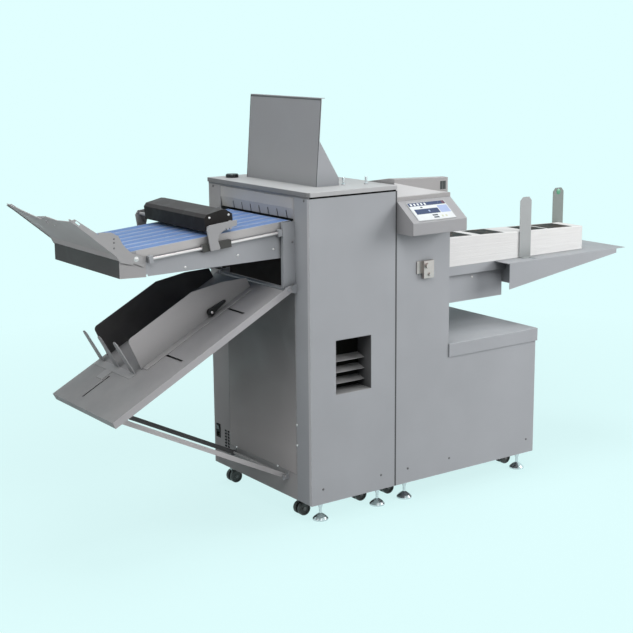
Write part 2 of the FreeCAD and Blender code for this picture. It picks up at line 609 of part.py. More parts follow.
def delivery_belts():
    """Seven flat belts: one closed loop round both rollers, parted by six gaps."""
    def loop(name, radius, y0, length):
        core = block(name + "_run", ["roll_b", y0, ROLL_Z + " - (%s)" % radius],
                     ["roll_a - roll_b", length, "2 * (%s)" % radius])
        ends = [rod(name + "_end_%d" % i, [x, y0, ROLL_Z], radius, length)
                for i, x in enumerate(("roll_a", "roll_b"))]
        return join(name, [core] + ends)

    width = "6 * belt_pitch + belt_w"
    outer = loop("belt_outside", "roll_r + 0.3 + belt_t", "belt_y0", width)
    inner = loop("belt_inside", "roll_r + 0.3", "belt_y0 - 1", width + " + 2")
    gaps = [block("belt_gap_%d" % i, ["roll_b - 40", "belt_y0 + belt_w + %d * belt_pitch" % i,
                                      "-60"], ["roll_a - roll_b + 80", "belt_pitch - belt_w", "70"])
            for i in range(6)]
    return on_deck(carve("belts", outer, [inner] + gaps), "delivery_belts")


def belt_rollers():
    """Drive roller at the tower end and idle roller at the far end of the belts."""
    for name, x in (("drive_roller", "roll_a"), ("idle_roller", "roll_b")):
        drum = rod(name + "_drum", [x, "conv_y0 + side_t + roll_end", ROLL_Z], "roll_r",
                   "conv_y1 - conv_y0 - 2 * (side_t + roll_end)")
        spindle = rod(name + "_spindle", [x, "conv_y0 + spindle_in", ROLL_Z], "5",
                      "conv_y1 - conv_y0 - 2 * spindle_in")
        on_deck(join(name + "_solid", [drum, spindle]), name)


def guide_rods():
    """Two bright rods along the delivery that carry the press-roller carriage."""
    rods = [rod("guide_rod_%d" % i, ["rod_a - 8", y, "-rod_drop"], "rod_r",
                "rod_b - rod_a + 6", "x") for i, y in enumerate(("rod_y0", "rod_y1"))]
    return on_deck(join("rods", rods), "guide_rods")


def delivery_bracket_pieces():
    """Folded brackets that hang the delivery on the tower's left wall."""
    pieces = []
    for i, (y, turn) in enumerate((("bracket_y", "bracket_y + 2"), ("560", "548"))):
        pieces.append(block("bracket_web_%d" % i, ["bracket_x", y, "bracket_z0"],
                            ["-bracket_x", "2", "bracket_z1 - bracket_z0"]))
        pieces.append(block("bracket_lip_%d" % i, ["-2", turn, "bracket_z0"],
                            ["2", "12", "bracket_z1 - bracket_z0"]))
        edge = block("bracket_edge_%d" % i, ["bracket_x", turn, "bracket_z0"],
                     ["2", "12", "bracket_z1 - bracket_z0"])
        hole_y = ("rod_y0", "rod_y1")[i]
        pieces.append(carve("bracket_side_%d" % i, edge,
                            [rod("bracket_hole_%d" % i, ["bracket_x - 5", hole_y, "1026"], "9",
                                 "12", "x")]))
    return pieces


def end_cap():
    """Folded cover round the outer end of the delivery."""
    side = [("cap_x0", "cap_z0"), ("cap_x1", "cap_z0 - 4"), ("cap_x1", "cap_z1 - 2"),
            ("cap_x0", "cap_z1")]
    pieces = [plate("cap_near", "xz", side, "conv_y0 - 2.5", "2.5"),
              plate("cap_far", "xz", side, "cap_y1 - 2.5", "2.5"),
              block("cap_face", ["cap_x0", "conv_y0 - 2.5", "cap_z0"],
                    ["2", "cap_y1 - conv_y0 + 2.5", "cap_z1 - cap_z0"]),
              plate("cap_floor", "xz", [("cap_x0", "cap_z0"), ("cap_x0", "cap_z0 + 2"),
                                        ("cap_x1", "cap_z0 - 2"), ("cap_x1", "cap_z0 - 4")],
                    "conv_y0 - 2.5", "cap_y1 - conv_y0 + 2.5"),
              block("cap_tie", ["cap_x1 - 30", "conv_y1", "cap_z0 + 4"],
                    ["20", "cap_y1 - conv_y1", "20"])]
    hole = rod("cap_hole", ["catch_piv_x", "90", "catch_piv_z"], "5", "500")
    return finish(move(carve("cap", join("cap_solid", pieces), [hole])), "end_cap")


# ---------------------------------------------------------------- press-roller carriage

def press_housing():
    """Hollow housing over the press rollers, open below, with a bored end plate each side."""
    outside = [("-308", "14"), ("-310", "58"), ("-300", "69"), ("-240", "77"), ("-228", "75"),
               ("-205", "58"), ("-205", "28"), ("-212", "14")]
    inside = [("-305", "10"), ("-307", "57"), ("-299", "66"), ("-240", "74"), ("-229", "72"),
              ("-208", "56.5"), ("-208", "29"), ("-215", "10")]
    shell = plate("housing_shell", "xz", outside, "nip_y0", "nip_y1 - nip_y0")
    soften(shell, "housing_rounding", "2.5", lambda e: along(e, "y") and e.CenterOfMass.z > 50)
    room = plate("housing_room", "xz", inside, "nip_y0 + 3", "nip_y1 - nip_y0 - 6")
    bore = rod("housing_bore", ["nip_x", "nip_y0 - 1", "nip_r + nip_gap"],
               "nip_shaft_r + run_fit", "nip_y1 - nip_y0 + 2")
    return on_deck(carve("housing", shell, [room, bore]), "press_housing")


def press_brackets():
    """Cast hooks that carry the housing down to the rod blocks, notched under the arm."""
    pieces = []
    hook = [("-313", "-44"), ("-276", "-44"), ("-283", "-14"), ("-276", "4"), ("-258", "14"),
            ("-252", "14"), ("-252", "19"), ("-247", "19"), ("-247", "14"), ("-240", "14"),
            ("-240", "19"), ("-235", "19"), ("-235", "14"), ("-228", "14"), ("-228", "20"),
            ("-208", "22"), ("-206", "40"), ("-308", "38"), ("-319", "24")]
    rounded = (("-313", "-44"), ("-276", "-44"), ("-308", "38"), ("-319", "24"), ("-283", "-14"))
    spots = [(float(a), float(b)) for a, b in rounded]
    for i, (y, boss, reach) in enumerate((("82", "88", "nip_y0 - 88"), ("560", "nip_y1",
                                                                        "560 - nip_y1"))):
        leaf = plate("hook_%d" % i, "xz", hook, y, "6")
        soften(leaf, "hook_rounding_%d" % i, "4",
               lambda e: along(e, "y") and any(abs(e.CenterOfMass.x - a) < 0.1
                                               and abs(e.CenterOfMass.z - b) < 0.1
                                               for a, b in spots))
        pieces.append(leaf)
        for j, (x, z) in enumerate((("-300", "26"), ("-218", "32"))):
            pieces.append(rod("boss_%d_%d" % (i, j), [x, boss, z], "6", reach))
    return on_deck(join("hooks", pieces + rod_block_pieces()), "press_brackets")


def rod_block_pieces():
    """Sliding blocks bored to run on the guide rods."""
    pieces = []
    for i, (y, width, centre) in enumerate((("88", "conv_y0 - 88 - gap", "rod_y0"),
                                            ("conv_y1 + gap", "560 - conv_y1 - gap",
                                             "rod_y1"))):
        shape = block("block_body_%d" % i, ["block_x", y, "-rod_drop - 12"],
                      ["block_l", width, "24"])
        bore = rod("block_bore_%d" % i, ["block_x - 1", centre, "-rod_drop"], "rod_r + run_fit",
                   "block_l + 2", "x")
        pieces.append(carve("block_%d" % i, shape, [bore]))
    return pieces


def press_rollers():
    """Seven press rollers, one over each belt, on a shaft held by the housing."""
    centre = "nip_r + nip_gap"
    pieces = [rod("press_shaft", ["nip_x", "nip_y0", centre], "nip_shaft_r", "nip_y1 - nip_y0")]
    for i in range(7):
        pieces.append(rod("press_wheel_%d" % i,
                          ["nip_x", "belt_y0 + 13 + %d * belt_pitch" % i, centre], "nip_r", "24"))
    return on_deck(join("press", pieces), "press_rollers")


# ---------------------------------------------------------------- catch tray

def catch_tray():
    """Tilting catch tray: scalloped sloping leaf between two arms on pivot stubs."""
    edge = [("0", "catch_y0 + 1"), ("-190", "catch_y0 + 1"), ("-188", "114"), ("-174", "128"),
            ("-catch_rise", "243"), ("-166", "305"), ("-157", "345"), ("-137", "404"),
            ("-162", "474"), ("-190", "540"), ("-catch_reach", "556"), ("-catch_reach", "catch_y1 - 2"),
            ("0", "catch_y1 - 2")]
    slots = [[("-138", "358"), ("-138", "366"), ("-116", "380"), ("-116", "372")],
             [("-116", "334"), ("-116", "342"), ("-98", "356"), ("-98", "348")],
             [("-186", "546"), ("-186", "553"), ("-168", "553"), ("-168", "546")],
             [("-90", "512"), ("-90", "519"), ("-62", "519"), ("-62", "512")]]
    leaf = plate("catch_leaf", "xy", edge, "0", "2", slots)
    lean(leaf, "-catch_tilt", "catch_foot_x", "catch_foot_z")
    arm = [("-656", "1008"), ("-562", "963"), ("-553", "972"), ("-553", "992"), ("-580", "1004"),
           ("-598", "1009"), ("-640", "1046"), ("-712", "1080"), ("-786", "1132"),
           ("catch_tip_x", "1128"), ("-779", "1110")]
    hole = [("-786", "1122"), ("-772", "1111"), ("-768", "1116"), ("-782", "1127")]
    pieces = [leaf]
    for i, (y, start, reach) in enumerate((("catch_y0", "catch_y0",
                                            "conv_y0 + pin_in - catch_y0"),
                                           ("catch_y1 - 2", "conv_y1 - pin_in",
                                            "catch_y1 - conv_y1 + pin_in"))):
        pieces.append(plate("catch_arm_%d" % i, "xz", arm, y, "2", [hole]))
        pieces.append(rod("catch_pin_%d" % i, ["catch_piv_x", start, "catch_piv_z"], "4", reach))
    return finish(move(join("catch", pieces)), "catch_tray")


# ---------------------------------------------------------------- lower tray

def on_tray(obj, name):
    """Finish a part drawn on the lower tray's axes: X down the slope, Z off its surface."""
    return finish(tilt(obj, "tray_tilt", "tray_x", "tray_z"), name)


def lower_tray():
    """Sloping tray with turned-down lips, hinge ears, adjusting slots and strut ears."""
    depth = "tray_y1 - tray_y0"
    pieces = [block("tray_sheet", ["-tray_len", "tray_y0", "-2"], ["tray_len", depth, "2"]),
              block("tray_near_lip", ["-tray_len", "tray_y0", "-tray_lip"],
                    ["tray_len + 28", "2", "tray_lip"]),
              block("tray_far_lip", ["-tray_len", "tray_y1 - 2", "-tray_lip"],
                    ["tray_len + 28", "2", "tray_lip"]),
              block("tray_end_lip", ["-tray_len", "tray_y0", "-tray_lip"],
                    ["2", depth, "tray_lip"])]
    for i, (y, pin) in enumerate((("strut_y0 + strut_t + 1", "strut_y0 - 1"),
                                  ("strut_y1 - 7", "strut_y1 - 7"))):
        ear = [("link_s - 14", "-2"), ("link_s + 14", "-2"), ("link_s + 9", "link_n - 9"),
               ("link_s - 9", "link_n - 9")]
        pieces.append(plate("strut_ear_%d" % i, "xz", ear, y, "6"))
        pieces.append(rod("strut_stub_%d" % i, ["link_s", pin, "link_n"], "5", "14"))
    holes = [rod("hinge_bore", ["tray_pin_s", "tray_y0 - 1", "tray_pin_n"],
                 "tray_pin_r + run_fit", depth + " + 2")]
    for i, x in enumerate(("-420", "-150")):
        holes.append(block("near_slot_%d" % i, [x, "guide_near_y - 130", "-5"], ["8", "115", "8"]))
        holes.append(block("far_slot_%d" % i, [x, "guide_far_y - 44", "-5"], ["8", "58", "8"]))
    holes.append(block("stop_slot", ["39 - tray_len", "345", "-5"], ["114", "10", "8"]))
    return on_tray(carve("tray", join("tray_solid", pieces), holes), "lower_tray")


def tray_hinge_pieces():
    """Two lugs on the tower's left wall with the pin the lower tray swings on."""
    px = "tray_x + tray_pin_s * cos(tray_tilt) - tray_pin_n * sin(tray_tilt)"
    pz = "tray_z + tray_pin_s * sin(tray_tilt) + tray_pin_n * cos(tray_tilt)"
    lug = [("0", pz + " - 16"), ("0", pz + " + 16"), (px + " - 6", pz + " + 9"),
           (px + " - 11", pz), (px + " - 6", pz + " - 9")]
    pieces = [plate("hinge_lug_%d" % i, "xz", lug, y, "6")
              for i, y in enumerate(("tray_y0 + 4", "tray_y1 - 10"))]
    pieces.append(rod("hinge_pin", [px, "tray_y0 - 3", pz], "tray_pin_r",
                      "tray_y1 - tray_y0 + 6"))
    return pieces


def tray_guides():
    """Near and far side guides: bent-up cheeks on sliding feet with studs through the slots."""
    cheek = [("-505", "gap"), ("-499", "guide_h - 2"), ("-223", "guide_h"), ("-110", "79"),
             ("-22", "37"), ("-22", "gap")]
    for name, y, foot_y, foot, stud_y in (
            ("tray_guide_near", "guide_near_y - 2", "guide_near_y - 2 - guide_foot", "guide_foot",
             "guide_near_y - 20"),
            ("tray_guide_far", "guide_far_y", "guide_far_y + 2", "12", "guide_far_y + 8")):
        leaf = plate(name + "_leaf", "xz", cheek, y, "2")
        soften(leaf, name + "_corner", "14",
               lambda e: along(e, "y") and abs(e.CenterOfMass.x + 499) < 1)
        pieces = [leaf, block(name + "_foot", ["-500", foot_y, "gap"], ["470", foot, "2"])]
        for i, x in enumerate(("-416", "-146")):
            pieces.append(rod(name + "_stud_%d" % i, [x, stud_y, "-12"], "3", "14", "z"))
            pieces.append(rod(name + "_nut_%d" % i, [x, stud_y, "-10"], "6", "7", "z"))
        whole = join(name + "_solid", pieces)
        if name == "tray_guide_near":
            whole = carve(name + "_bored", whole,
                          [rod("lever_bore", ["lever_x", y + " - 5", "lever_z"], "4 + run_fit",
                               "10")])
        on_tray(whole, name)


def clamp_lever():
    """Tapered clamping lever on the near guide, with a round boss and a cross pin."""
    tip = "lever_x + lever_l"
    arm = plate("lever_arm", "xz", [("lever_x", "lever_z - lever_r + 0.5"),
                                    (tip, "lever_z - 1"), (tip, "lever_z + 5"),
                                    ("lever_x", "lever_z + lever_r - 0.5")],
                "guide_near_y - 12", "8")
    boss = rod("lever_boss", ["lever_x", "guide_near_y - 15", "lever_z"], "lever_r", "12")
    pin = rod("lever_pin", ["lever_x", "guide_near_y - 18", "lever_z"], "4", "19")
    return on_tray(join("lever", [arm, boss, pin]), "clamp_lever")


def end_stop():
    """Sliding end stop: three tapered fingers on a T-shaped foot."""
    pieces = [block("stop_foot", ["stop_x - 26", "finger_y0 - 3", "gap"],
                    ["28", "2 * finger_pitch + finger_w + 6", "2"]),
              block("stop_tongue", ["stop_x - 66", "323", "gap"], ["42", "54", "2"]),
              block("stop_key", ["stop_x - 62", "347", "-8"], ["14", "6", "9"]),
              block("stop_keeper", ["stop_x - 64", "340", "-8"], ["18", "20", "4"])]
    for i in range(3):
        y = "finger_y0 + %d * finger_pitch" % i
        corners = [(y, "1"), (y + " + finger_w", "1"), (y + " + finger_w - 5", "stop_h - 6"),
                   (y + " + finger_w - 12", "stop_h"), (y + " + 6", "stop_h - 14")]
        pieces.append(plate("finger_%d" % i, "yz", corners, "stop_x - 2", "3"))
    return on_tray(join("stop", pieces), "end_stop")


def tray_strut():
    """Two flat bars and a cross tube, pinned to the tray, with a rod through both feet."""
    pieces = []
    for i, y in enumerate(("strut_y0", "strut_y1")):
        pieces.append(block("strut_bar_%d" % i, ["-strut_len - 12", y, "-strut_h / 2"],
                            ["strut_len + 22", "strut_t", "strut_h"]))
    pieces.append(rod("strut_tube", ["-strut_len + 75", "strut_y0", "0"], "7",
                      "strut_y1 - strut_y0 + strut_t"))
    bores = [rod("strut_bore_%d" % i, [x, "strut_y0 - 1", "0"], "%s + run_fit" % radius,
                 "strut_y1 - strut_y0 + strut_t + 2")
             for i, (x, radius) in enumerate((("-strut_len", "5"), ("0", "foot_rod_r")))]
    frame = carve("strut_frame", join("strut_solid", pieces), bores)
    foot_rod = rod("foot_rod", ["0", "strut_y0 - hook_t - 1", "0"], "foot_rod_r",
                   "strut_y1 - strut_y0 + strut_t + 2 * (hook_t + 1)")
    solid = join("strut", [frame, foot_rod])
    return finish(tilt(solid, "-strut_tilt", "strut_foot_x", "strut_foot_z"), "tray_strut")


def strut_hook_pieces():
    """Open-topped hooks on the tower that hold the ends of the strut's foot rod."""
    x, z = "strut_foot_x", "strut_foot_z"
    low = z + " - foot_rod_r - gap"
    outer, inner, back = x + " - foot_rod_r - 5", x + " - foot_rod_r - 1", x + " + foot_rod_r + 1"
    hook = [("0", low + " - 8"), (outer, low + " - 8"), (outer, z + " + 5"), (inner, z + " + 5"),
            (inner, low), (back, low), (back, z + " + 5"), ("0", z + " + 9")]
    return [plate("hook_plate_%d" % i, "xz", hook, y, "hook_t")
            for i, y in enumerate(("strut_y0 - hook_t - 1", "strut_y1 + strut_t + 1"))]


def wall_brackets():
    """Everything the tower's left wall carries its attachments by."""
    pieces = delivery_bracket_pieces() + tray_hinge_pieces() + strut_hook_pieces()
    return finish(move(join("brackets", pieces)), "wall_brackets")


# ---------------------------------------------------------------- feeder cabinet

def feeder_front():
    """Single L-shaped front sheet of the column and the low cabinet."""
    face = [("feeder_x0", "skirt_z"), ("cabinet_x1", "skirt_z"), ("cabinet_x1", "cabinet_top"),
            ("column_x1", "cabinet_top"), ("column_x1", "column_top"),
            ("feeder_x0", "column_top")]
    leaf = plate("front_leaf", "xz", face, "0", "sheet_t")
    bore = rod("latch_bore", ["latch_x", "-1", "latch_z"], "5 + run_fit", "4")
    return finish(move(carve("front_bored", leaf, [bore])), "feeder_front")


def feeder_carcass():
    """Walls, floor, lift rails and drum plates behind the feeder's front sheet."""
    wall, deep = "sheet_t", "tower_w - 2 * sheet_t"
    left = block("column_left", ["feeder_x0", wall, "skirt_z"],
                 [wall, deep, "column_top - skirt_z"])
    slot = block("column_slot", ["feeder_x0 - 1", "exit_y0 + 8", "pass_z0"],
                 [wall + " + 2", "exit_y1 - exit_y0 - 16", "pass_z1 - pass_z0"])
    right = block("column_right", ["column_x1 - " + wall, wall, "cabinet_top"],
                  [wall, deep, "column_top - cabinet_top"])
    throat = block("column_throat", ["column_x1 - 5", "throat_y0", "throat_z0"],
                   ["10", "throat_y1 - throat_y0", "throat_z1 - throat_z0"])
    back = [("feeder_x0", "skirt_z"), ("cabinet_x1", "skirt_z"), ("cabinet_x1", "cabinet_top"),
            ("column_x1", "cabinet_top"), ("column_x1", "column_top"),
            ("feeder_x0", "column_top")]
    pieces = [carve("column_left_wall", left, [slot]), carve("column_right_wall", right, [throat]),
              plate("feeder_back", "xz", back, "tower_w - sheet_t", "sheet_t"),
              block("cabinet_right", ["cabinet_x1 - " + wall, wall, "skirt_z"],
                    [wall, deep, "cabinet_top - skirt_z"]),
              block("cabinet_floor", ["feeder_x0", wall, "skirt_z"],
                    ["cabinet_x1 - feeder_x0", deep, "4"])]
    for i, y in enumerate(("220", "390")):
        pieces.append(block("lift_rail_%d" % i, ["rail_x - 4", y, "500"],
                            ["rail_l + 4", "20", "480"]))
    plates = []
    for i, y in enumerate(("throat_y0 - 10", "throat_y1 + 10")):
        plates.append(block("drum_plate_%d" % i, ["feeder_x0 + 1", y, "drum_z - 40"],
                            ["column_x1 - feeder_x0 - 8", "5", "column_top - drum_z + 36"]))
    bore = rod("drum_bore", ["drum_x", "throat_y0 - 20", "drum_z"], "shaft_r + run_fit",
               "throat_y1 - throat_y0 + 40")
    pieces.append(carve("drum_plates", join("drum_plates_raw", plates), [bore]))
    return finish(move(join("carcass", pieces)), "feeder_carcass")


def cabinet_lid():
    """Deep lid of the low cabinet: cap with a rounded rim and an open underside flange."""
    x0, x1, y0 = "column_x1 + gap", "cabinet_x1 + lid2_over", "-lid2_over"
    body = doc.addObject("PartDesign::Body", "lid2_body")
    sketch = draw(body, "lid2_sketch", "xy", [[(x0, y0), (x1, y0), (x1, "tower_w"),
                                               (x0, "tower_w")]])
    pad = body.newObject("PartDesign::Pad", "lid2_pad")
    pad.Profile = sketch
    bind(pad, "Length", "lid2_top - cabinet_top")
    body.Tip = pad
    bind(body, "Placement.Base.z", "cabinet_top")
    soften(body, "lid2_rounding", "3", lambda e: abs(e.CenterOfMass.z - (VALUES["lid2_top"]
           - VALUES["cabinet_top"])) < 0.01 and e.CenterOfMass.x > VALUES["column_x1"] + 2)
    room = block("lid2_room", [x0 + " + 2", y0 + " + 2", "cabinet_top + 2"],
                 [x1 + " - (" + x0 + ") - 4", "tower_w + lid2_over - 4", "lid2_top - cabinet_top - 5"])
    mouth = block("lid2_mouth", [x0 + " + 30", y0 + " + 35", "cabinet_top - 1"],
                  [x1 + " - (" + x0 + ") - 65", "tower_w + lid2_over - 70", "10"])
    return finish(move(carve("lid2", body, [room, mouth])), "cabinet_lid")


def column_top_cover():
    """Cover sheet of the feeder column and the sight-windowed housing over the sheet transfer."""
    top = block("cover_block", ["feeder_x0", "0", "column_top"],
                ["column_x1 - feeder_x0", "tower_w", "cover_t"])
    under = block("cover_room", ["feeder_x0 + 2", "2", "column_top - 1"],
                  ["column_x1 - feeder_x0 - 4", "tower_w - 4", "cover_t - 1"])
    low, high, end = "column_top + cover_t", "column_top + bridge_h", "column_x1 - 9"
    face = [("feeder_x0 + 2", low + " - 1"), (end, low + " - 1"), (end, high),
            ("feeder_x0 + 2", high + " + 13")]
    inside = [("feeder_x0 + 4", low), (end + " - 2", low), (end + " - 2", high + " - 2"),
              ("feeder_x0 + 4", high + " + 11")]
    shell = plate("bridge_shell", "xz", face, "16", "tower_w - 46")
    room = plate("bridge_room", "xz", inside, "18", "tower_w - 50")
    window = block("bridge_window", [end + " - 24", "15", high + " - 37"], ["16", "5", "26"])
    solid = join("column_cover_solid", [carve("cover", top, [under]),
                                        carve("bridge", shell, [room, window])])
    return finish(move(solid), "column_cover")


def console_housing():
    """Sloping control console: a folded shell open to the column."""
    outside = [("console_front_y", "console_low"), ("0", "console_low"), ("0", "column_top"),
               ("console_front_y", "console_edge")]
    inside = [("console_front_y + 2.5", "console_low + 2.5"), ("1", "console_low + 2.5"),
              ("1", "column_top - 2.6"), ("console_front_y + 2.5", "console_edge - 1.6")]
    shell = plate("console_shell", "yz", outside, "feeder_x0", "column_x1 - feeder_x0 - 2")
    soften(shell, "console_rounding", "3", lambda e: along(e, "x")
           and e.CenterOfMass.y < VALUES["console_front_y"] + 1)
    room = plate("console_room", "yz", inside, "feeder_x0 + 2.5", "column_x1 - feeder_x0 - 7")
    return finish(move(carve("console", shell, [room])), "console_housing")


def touch_screen():
    """Glass touch panel lying on the console's slope."""
    rise = "(column_top - console_edge) / -console_front_y"
    def on_slope(y, up):
        return ("%s - %s * sin(slope_tilt)" % (y, up),
                "console_edge + (%s - console_front_y) * %s + %s * cos(slope_tilt)" % (y, rise, up))
    corners = [on_slope("-84", "0"), on_slope("-14", "0"), on_slope("-14", "screen_t"),
               on_slope("-84", "screen_t")]
    return finish(move(plate("screen", "yz", corners, "0", "166"), "396"), "touch_screen")


def door_latch():
    """Quarter-turn latch on the column: cast grip, side ears and a stub through the sheet."""
    grip = block("latch_grip", ["latch_x - 22", "-16", "latch_z - 25"], ["45", "12", "62"])
    base = block("latch_base", ["latch_x - 44", "-4", "latch_z - 8"], ["76", "3.5", "44"])
    knob = rod("latch_knob", ["latch_x - 8", "-24", "latch_z + 20"], "9", "8")
    low_knob = rod("latch_low_knob", ["latch_x + 4", "-21", "latch_z - 12"], "6", "5")
    stub = rod("latch_stub", ["latch_x", "-4", "latch_z"], "5", "9")
    return finish(move(join("latch", [grip, base, knob, low_knob, stub])), "door_latch")


def feed_drum():
    """Ribbed feed drum over the leading end of the stack."""
    pieces = [rod("drum_shaft", ["drum_x", "throat_y0 - 10", "drum_z"], "shaft_r",
                  "throat_y1 - throat_y0 + 25")]
    for i, y in enumerate(("172", "214", "256")):
        pieces.append(rod("drum_ring_%d" % i, ["drum_x", y, "drum_z"], "drum_r", "24"))
    return finish(move(join("drum", pieces)), "feed_drum")


# ---------------------------------------------------------------- feed table

def feed_table():
    """Lifting table: lipped plate, box beam with runner channels, and a carriage on the rails."""
    depth, span = "table_y1 - table_y0", "table_x1 - table_x0"
    beam_y, beam_w = "table_y0 + box_in", "table_y1 - table_y0 - 2 * box_in"
    sheet = block("table_sheet", ["table_x0", "table_y0", "table_top - 2"], [span, depth, "2"])
    pieces = [sheet]
    for i, y in enumerate(("table_y0", "table_y1 - 2")):
        pieces.append(block("table_lip_%d" % i, ["table_x0", y, "table_top - table_lip"],
                            [span, "2", "table_lip"]))
    for i, y in enumerate((beam_y, beam_y + " + " + beam_w + " - 2")):
        pieces.append(block("beam_side_%d" % i, ["table_x0", y, "box_low"],
                            [span + " - 1", "2", "table_top - 2 - box_low"]))
    pieces.append(block("beam_floor", ["table_x0", beam_y, "box_low"], [span + " - 1", beam_w, "2"]))
    pieces.append(block("beam_end", ["table_x0", beam_y, "box_low"],
                        ["2", beam_w, "table_top - 2 - box_low"]))
    for i, y in enumerate(("204", "396")):
        for j, dy in enumerate(("-3", "20 + 2 * gap")):
            pieces.append(block("runner_%d_%d" % (i, j), ["780", y + " + " + dy, "box_low + 2"],
                                ["250", "3 - gap + 0.4", "30"]))
    pieces.append(block("carriage_plate", ["rail_x + rail_l + gap", "205", "box_low"],
                        ["10", "220", "130"]))
    for i, y in enumerate(("214", "245", "385", "415")):
        pieces.append(block("rail_cheek_%d" % i, ["rail_x + 4", y, "box_low + 20"],
                            ["rail_l + gap - 3", "5", "90"]))
    for i, y in enumerate(("255", "360")):
        pieces.append(block("table_arm_%d" % i, ["rail_x + rail_l + 10", y, "box_low + 30"],
                            ["table_x0 - rail_x - rail_l - 8", "12", "50"]))
    return finish(move(join("table", pieces)), "feed_table")


def feed_extension():
    """Pull-out extension: forked top sheet, tapered webs and two rails into the beam."""
    top, web_y1 = "table_top - gap", "ext_y1 - 2"
    fork = [("ext_x0", "ext_y0"), ("feed_tip_x", "ext_y0"), ("feed_tip_x", "ext_y1"),
            ("ext_x0", "ext_y1"), ("ext_x0", "table_y1 + gap"),
            ("table_x1 + gap", "table_y1 + gap"), ("table_x1 + gap", "table_y0 - gap"),
            ("ext_x0", "table_y0 - gap")]
    slots = [[("side_near_x + 25", "96"), ("side_near_x + 35", "96"),
              ("side_near_x + 35", "154"), ("side_near_x + 25", "154")],
             [("side_far_x + 25", "296"), ("side_far_x + 35", "296"),
              ("side_far_x + 35", "354"), ("side_far_x + 25", "354")]]
    pieces = [plate("ext_sheet", "xy", fork, top + " - 2", "2", slots)]
    web = [("ext_web_x0", top), ("ext_web_x0", "ext_low"), ("ext_web_x1", "ext_low_end"),
           ("ext_web_x1", top)]
    for i, y in enumerate(("ext_y0", web_y1)):
        pieces.append(plate("ext_web_%d" % i, "xz", web, y, "2"))
    pieces.append(block("ext_cross", ["table_x1 + 3", "ext_y0", "ext_low + 10"],
                        ["3", "ext_y1 - ext_y0", top + " - ext_low - 10"]))
    pieces.append(block("ext_tail", ["ext_web_x1 - 3", "ext_y0", "ext_low_end"],
                        ["3", "ext_y1 - ext_y0", top + " - ext_low_end"]))
    for i, y in enumerate(("204", "396")):
        pieces.append(block("ext_rail_%d" % i, ["800", y + " + gap", "box_low + 2 + gap"],
                            ["table_x1 + 4 - 800", "20", "28"]))
        pieces.append(block("ext_drop_%d" % i, ["table_x1 + 3", y + " + gap", "box_low + 2 + gap"],
                            ["3", "20", "60"]))
    return finish(move(join("extension", pieces)), "feed_extension")


def side_guides():
    """Two upright side guides that slide across the extension towards the stack."""
    for name, x, y, out in (("side_guide_near", "side_near_x", "side_near_y", "-1"),
                            ("side_guide_far", "side_far_x", "side_far_y", "1")):
        low = "table_top"
        face = [(x, low), (x + " + guide_w", low), (x + " + guide_w", "guide_top - 14"),
                (x + " + guide_w - 13", "guide_top"), (x + " + 13", "guide_top"),
                (x, "guide_top - 14")]
        leaf = plate(name + "_leaf", "xz", face, y, "2")
        foot_y = y + " - 24" if out == "-1" else y
        stud_y = y + " - 10" if out == "-1" else y + " + 12"
        pieces = [leaf, block(name + "_foot", [x, foot_y, low], ["guide_w", "26", "2"]),
                  rod(name + "_stud", [x + " + 30", stud_y, "table_top - 14"], "4", "15", "z"),
                  rod(name + "_nut", [x + " + 30", stud_y, "table_top - 12"], "8", "8", "z")]
        finish(move(join(name + "_solid", pieces)), name)


def paper_stack():
    """Loaded stack of sheets, a little fuller at the feed end."""
    face = [("table_x0 + 30", "table_top"), ("stack_x1", "table_top"),
            ("stack_x1", "stack_z_tail"), ("table_x0 + 30", "stack_z_feed")]
    stack = plate("stack", "xz", face, "0", "stack_y1 - stack_y0")
    return finish(move(stack, "0", "stack_y0"), "paper_stack")


# ---------------------------------------------------------------- castors and feet

CASTORS = [("tower_left", "44"), ("tower_right", "(tower_l - 68)"),
           ("feeder_left", "(feeder_x0 + 55)"), ("feeder_right", "(cabinet_x1 - 35)")]


def castor_leg(name, stem_x, y, top, axle_z):
    """Middle leg of a twin-wheel castor, bored for the axle."""
    centre = stem_x + " + trail"
    side = [(stem_x + " - 9", top), (centre + " + 9", top), (centre + " + 9", axle_z + " - 5"),
            (centre + " + 5", axle_z + " - 9"), (centre + " - 5", axle_z + " - 9"),
            (centre + " - 9", axle_z + " - 5"), (centre + " - 9", axle_z + " + 12")]
    leg = plate(name + "_plate", "xz", side, y + " - 4", "8")
    bore = rod(name + "_bore", [centre, y + " - 5", axle_z], "axle_r + run_fit", "10")
    return carve(name + "_leg", leg, [bore])


def castor_mounts():
    """Castor plates under both floors; the rear four carry their legs rigidly."""
    pieces = []
    bores = []
    for i, (_, x) in enumerate(CASTORS):
        for j, (y, depth) in enumerate((("castor_y0", "28"), ("castor_y1", "28"))):
            pieces.append(block("castor_plate_%d_%d" % (i, j), [x + " - 28", y + " - " + depth,
                                                                "skirt_z - 6"],
                                ["66", "2 * " + depth, "6"]))
        bores.append(rod("stem_bore_%d" % i, [x, "castor_y0", "skirt_z - 7"], "6 + run_fit",
                         "6", "z"))
        pieces.append(castor_leg("rigid_%d" % i, x, "castor_y1", "skirt_z - 6", "wheel_r"))
    return finish(move(carve("mounts", join("mounts_solid", pieces), bores)), "castor_mounts")


def swivel_legs():
    """Front castor legs: stem in the plate, race disc and the leg between the wheels."""
    for where, x in CASTORS:
        name = "castor_leg_" + where
        pieces = [rod(name + "_stem", [x, "castor_y0", "skirt_z - 16"], "6", "14", "z"),
                  rod(name + "_race", [x, "castor_y0", "skirt_z - 13"], "15", "6.5", "z"),
                  castor_leg(name, x, "castor_y0", "skirt_z - 8", "wheel_r + lift")]
        finish(move(join(name + "_solid", pieces)), name)


